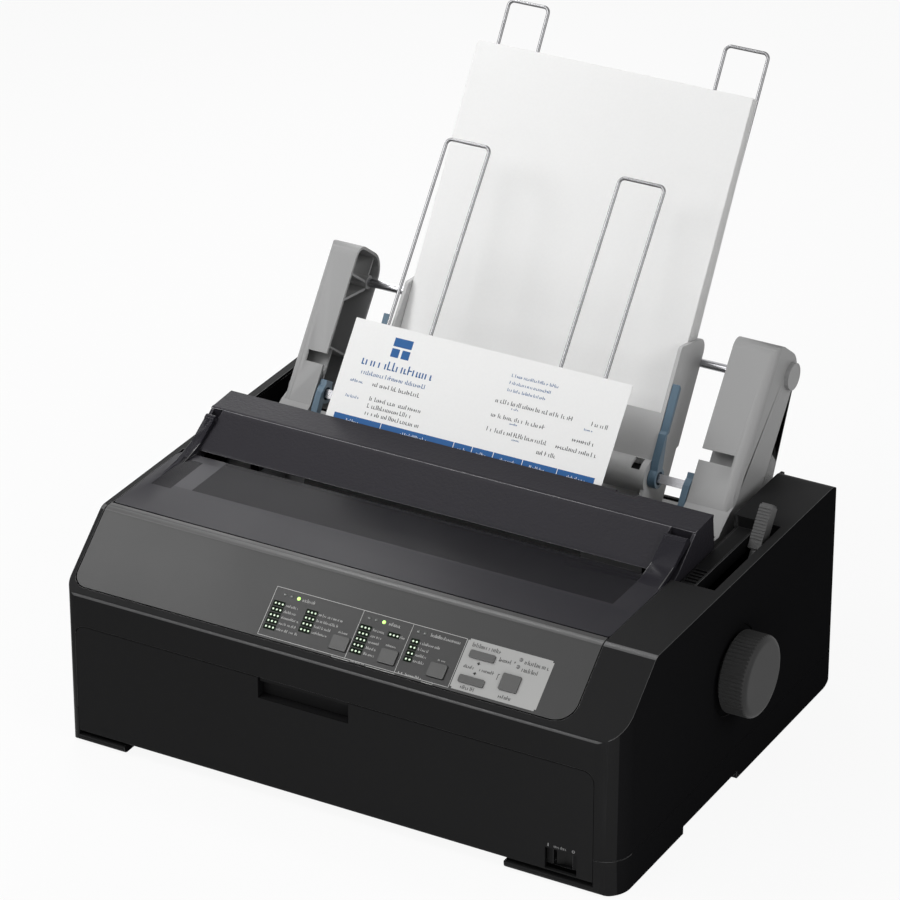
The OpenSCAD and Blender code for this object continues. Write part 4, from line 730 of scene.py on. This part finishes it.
dress(metal("ground_steel", (0.5, 0.5, 0.52), 0.22, 1500), "platen_shaft", "carriage_rod",
      "upper_shaft", "feed_shaft", "paper_bail")
dress(metal("zinc_sheet", (0.26, 0.265, 0.275), 0.5, 60), "chassis_frame")
dress(metal("motor_can", (0.3, 0.3, 0.32), 0.4, 200), "paper_feed_motor", "carriage_motor")
dress(metal("cast_head", (0.34, 0.35, 0.37), 0.5, 500), "print_head")
dress(metal("bright_wire", (0.2, 0.2, 0.205), 0.25, 60), "sheet_support_right",
      "sheet_support_left", "paper_stacker")

# The gears and belt pulleys are moulded in natural nylon. The carriage, paper guide,
# ribbon cartridge and sockets are black inner mouldings, and the power supply is built on
# a brown board.
dress(moulding("natural_nylon", (0.66, 0.64, 0.56), 0.45, grain=600), "platen_gear", "idler_gear",
      "feeder_idler_gear", "feed_gear", "motor_pinion", "drive_pulley", "idler_pulley")
dress(moulding("inner_black", (0.02, 0.02, 0.021), 0.55, grain=900), "carriage", "paper_guide",
      "ribbon_cartridge", "rear_sockets")
dress(moulding("supply_board", (0.25, 0.17, 0.06), 0.5, grain=300), "power_supply")

# The feeder: two arms and two sliding hoppers moulded in light grey. A beam and two
# shafts tie the arms together, and the hoppers slide along the square one.
feeder_grey = moulding("feeder_grey", (0.31, 0.31, 0.31), 0.5, grain=1300, bump=0.1,
                       specular=0.3)
for part in ("feeder_arm_right", "feeder_arm_left"):
    eased(part, feeder_grey, 0.6)
# Painted light: the hoppers, and with them the beam, are painted a paler grey than the arms to lift
# them out of the shade they stand in.
hopper_grey_painted_light = moulding("hopper_grey_painted_light", (0.47, 0.47, 0.47), 0.5, grain=1300, bump=0.1,
                       specular=0.3)
stack_tilt = radians(32.2)
up_stack = Vector((0, sin(stack_tilt), cos(stack_tilt)))
back_stack = Vector((0, cos(stack_tilt), -sin(stack_tilt)))
stack_origin = machine(-17, 284.5, 172)
plate_end = 0.045
plate_front = -0.004
plate_draw = 0.0075


def lean_back(mesh):
    """Draws the upper end of the left hopper's plate nearly back to the front sheet."""
    for v in mesh.vertices:
        at = v.co - stack_origin
        if at.dot(up_stack) > plate_end and at.dot(back_stack) < plate_front:
            v.co += back_stack * plate_draw


eased("hopper_right", hopper_grey_painted_light, 0.6)
eased("hopper_left", hopper_grey_painted_light, 0.6, reshape=lean_back)
dress(hopper_grey_painted_light, "feeder_beam")

# The blue levers: small mouldings that turn on pegs. The upper two lock the hoppers to
# their shaft, and the lower two lock the feeder's feet to the printer.
lever_blue = moulding("lever_blue", (0.09, 0.15, 0.205), 0.45, grain=1200, bump=0.1)
for part in ("lock_lever_right", "lock_lever_left", "base_lever_right", "base_lever_left"):
    eased(part, lever_blue, 0.4)

# The paper: a stack of loose white sheets that fan out towards their lower edge, each one
# a thin leaf a hair out of line with the next.
sheet_paper = bpy.data.materials.new("sheet_paper")
sheet_paper.use_nodes = True
nodes = sheet_paper.node_tree.nodes
links = sheet_paper.node_tree.links
shader = nodes["Principled BSDF"]
shader.inputs["Roughness"].default_value = 0.85
shader.inputs["Specular IOR Level"].default_value = 0.2
where = nodes.new("ShaderNodeTexCoord")
fibre = nodes.new("ShaderNodeTexNoise")
fibre.inputs["Scale"].default_value = 600
fibre.inputs["Detail"].default_value = 6
tone = nodes.new("ShaderNodeValToRGB")
tone.color_ramp.elements[0].color = (0.83, 0.83, 0.825, 1)
tone.color_ramp.elements[1].color = (0.87, 0.87, 0.865, 1)
relief = nodes.new("ShaderNodeBump")
relief.inputs["Strength"].default_value = 0.08
relief.inputs["Distance"].default_value = 0.0002
links.new(where.outputs["Object"], fibre.inputs["Vector"])
links.new(fibre.outputs["Fac"], tone.inputs["Fac"])
links.new(tone.outputs[0], shader.inputs["Base Color"])
links.new(fibre.outputs["Fac"], relief.inputs["Height"])
links.new(relief.outputs[0], shader.inputs["Normal"])

stack_low, stack_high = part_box("paper_stack")
leaf_width = stack_high.x - stack_low.x
leaf_length = 0.297
leaf_thickness = 0.00013
leaves = 72
stack_foot = -0.062
thick_foot = 0.0159
thick_top = 0.0088
fan_start = 0.03
fan_length = 0.2
stray = 0.0004
sink = -0.0005
climb = 0.0002
bpy.ops.mesh.primitive_grid_add(x_subdivisions=1, y_subdivisions=6, size=1,
                                location=(0, 0, 0))
blank = bpy.context.object
random.seed(11)
parts = []
for k in range(leaves):
    share = k / (leaves - 1)
    leaf = copied(blank)
    aside = random.uniform(-stray, stray)
    lifted = random.uniform(sink, climb)
    for v in leaf.data.vertices:
        along = stack_foot + (v.co.y + 0.5) * leaf_length
        fan = min(1, max(0, (along - fan_start) / fan_length))
        depth = share * (thick_foot + (thick_top - thick_foot) * fan)
        v.co = (stack_origin + Vector((v.co.x * leaf_width + aside, 0, 0))
                + up_stack * (along + lifted) + back_stack * depth)
    parts.append(leaf)
bpy.data.objects.remove(blank)
stack = joined("loose_sheets", parts)
stack.data.materials.append(sheet_paper)
leaf_body = stack.modifiers.new("thickness", "SOLIDIFY")
leaf_body.thickness = leaf_thickness
leaf_body.offset = 0
bpy.ops.object.modifier_apply(modifier="thickness")
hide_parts("paper_stack")
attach(stack, "case")

# The printed form: one sheet coming up from the platen, with a plain generic layout of
# blue heading bands and rows of black print.
dress(sheet_paper, "printed_form")
form_tilt = radians(38)
form_thickness = 0.0004
up_form = Vector((0, sin(form_tilt), cos(form_tilt)))
form_low, form_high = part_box("printed_form")
form_left = (form_low.x - middle) * 1000
form_top = Vector((middle, form_high.y - form_thickness * cos(form_tilt), form_high.z))
blue_ink = moulding("blue_ink", (0.004, 0.085, 0.27), 0.6, grain=2500, bump=0.05)
black_ink = moulding("black_ink", (0.03, 0.03, 0.035), 0.7, grain=2500, bump=0.05)
white_ink = moulding("white_ink", (0.75, 0.78, 0.85), 0.7, grain=2500, bump=0.05)


def typed(left, drop, right, height, weight, spread):
    """One line of print on the form: its left and right ends and its foot from the top."""
    return fine_print(form_left + left, -drop, form_left + right, height, weight, spread)


# Blue: a plain bar over two squares, a heading, three short lines, captions and the band.
blue = [(form_left + 33, -13, form_left + 47, -7), (form_left + 33, -20.5, form_left + 39, -14.5),
        (form_left + 41, -20.5, form_left + 47, -14.5)]
blue += typed(14, 30, 68, 6.0, 1.0, 3.6) + typed(16, 36.5, 66, 3.0, 0.5, 1.8)
for drop in (14, 19, 24):
    blue += typed(124, drop, 168 - 0.6 * drop, 2.2, 0.4, 1.4)
blue += typed(10, 43, 19, 2, 0.4, 1.4) + typed(10, 54, 20, 2, 0.4, 1.4)
for left, drop in ((131, 35.5), (133, 45.5), (138, 55.5), (186, 37)):
    blue += typed(left, drop, left + 6, 1.5, 0.35, 1.2)
band = 66
band_height = 7
for left, right in ((6, 42), (42.5, 98), (98.5, 112), (112.5, 128), (128.5, 150), (150.5, 176),
                    (176.5, 204)):
    blue.append((form_left + left, -band - band_height, form_left + right, -band))

# Black: the rows of print that the machine itself has put on the form.
black = []
for drop, left, right in ((43, 27, 64), (53, 28, 68), (58, 28, 62), (63, 28, 70),
                          (33, 118, 176), (33, 190, 202), (43, 118, 158), (46, 180, 196),
                          (53, 118, 164), (53, 170, 200), (60, 158, 172)):
    black += typed(left, drop, right, 3.0, 0.5, 1.9)

# White: the headings in the blue band, printed over it.
white_marks = []
for left, right in ((16, 26), (58, 78), (102, 108), (116, 124), (134, 146), (156, 168), (184, 198)):
    white_marks += typed(left, band + 5, right, 2.6, 0.4, 1.5)
for name, marks, lift, paint in (("form_blue", blue, 0.05, blue_ink),
                                 ("form_black", black, 0.05, black_ink),
                                 ("form_white", white_marks, 0.1, white_ink)):
    inked(name, marks, form_top, across, up_form, lift, paint, "form")
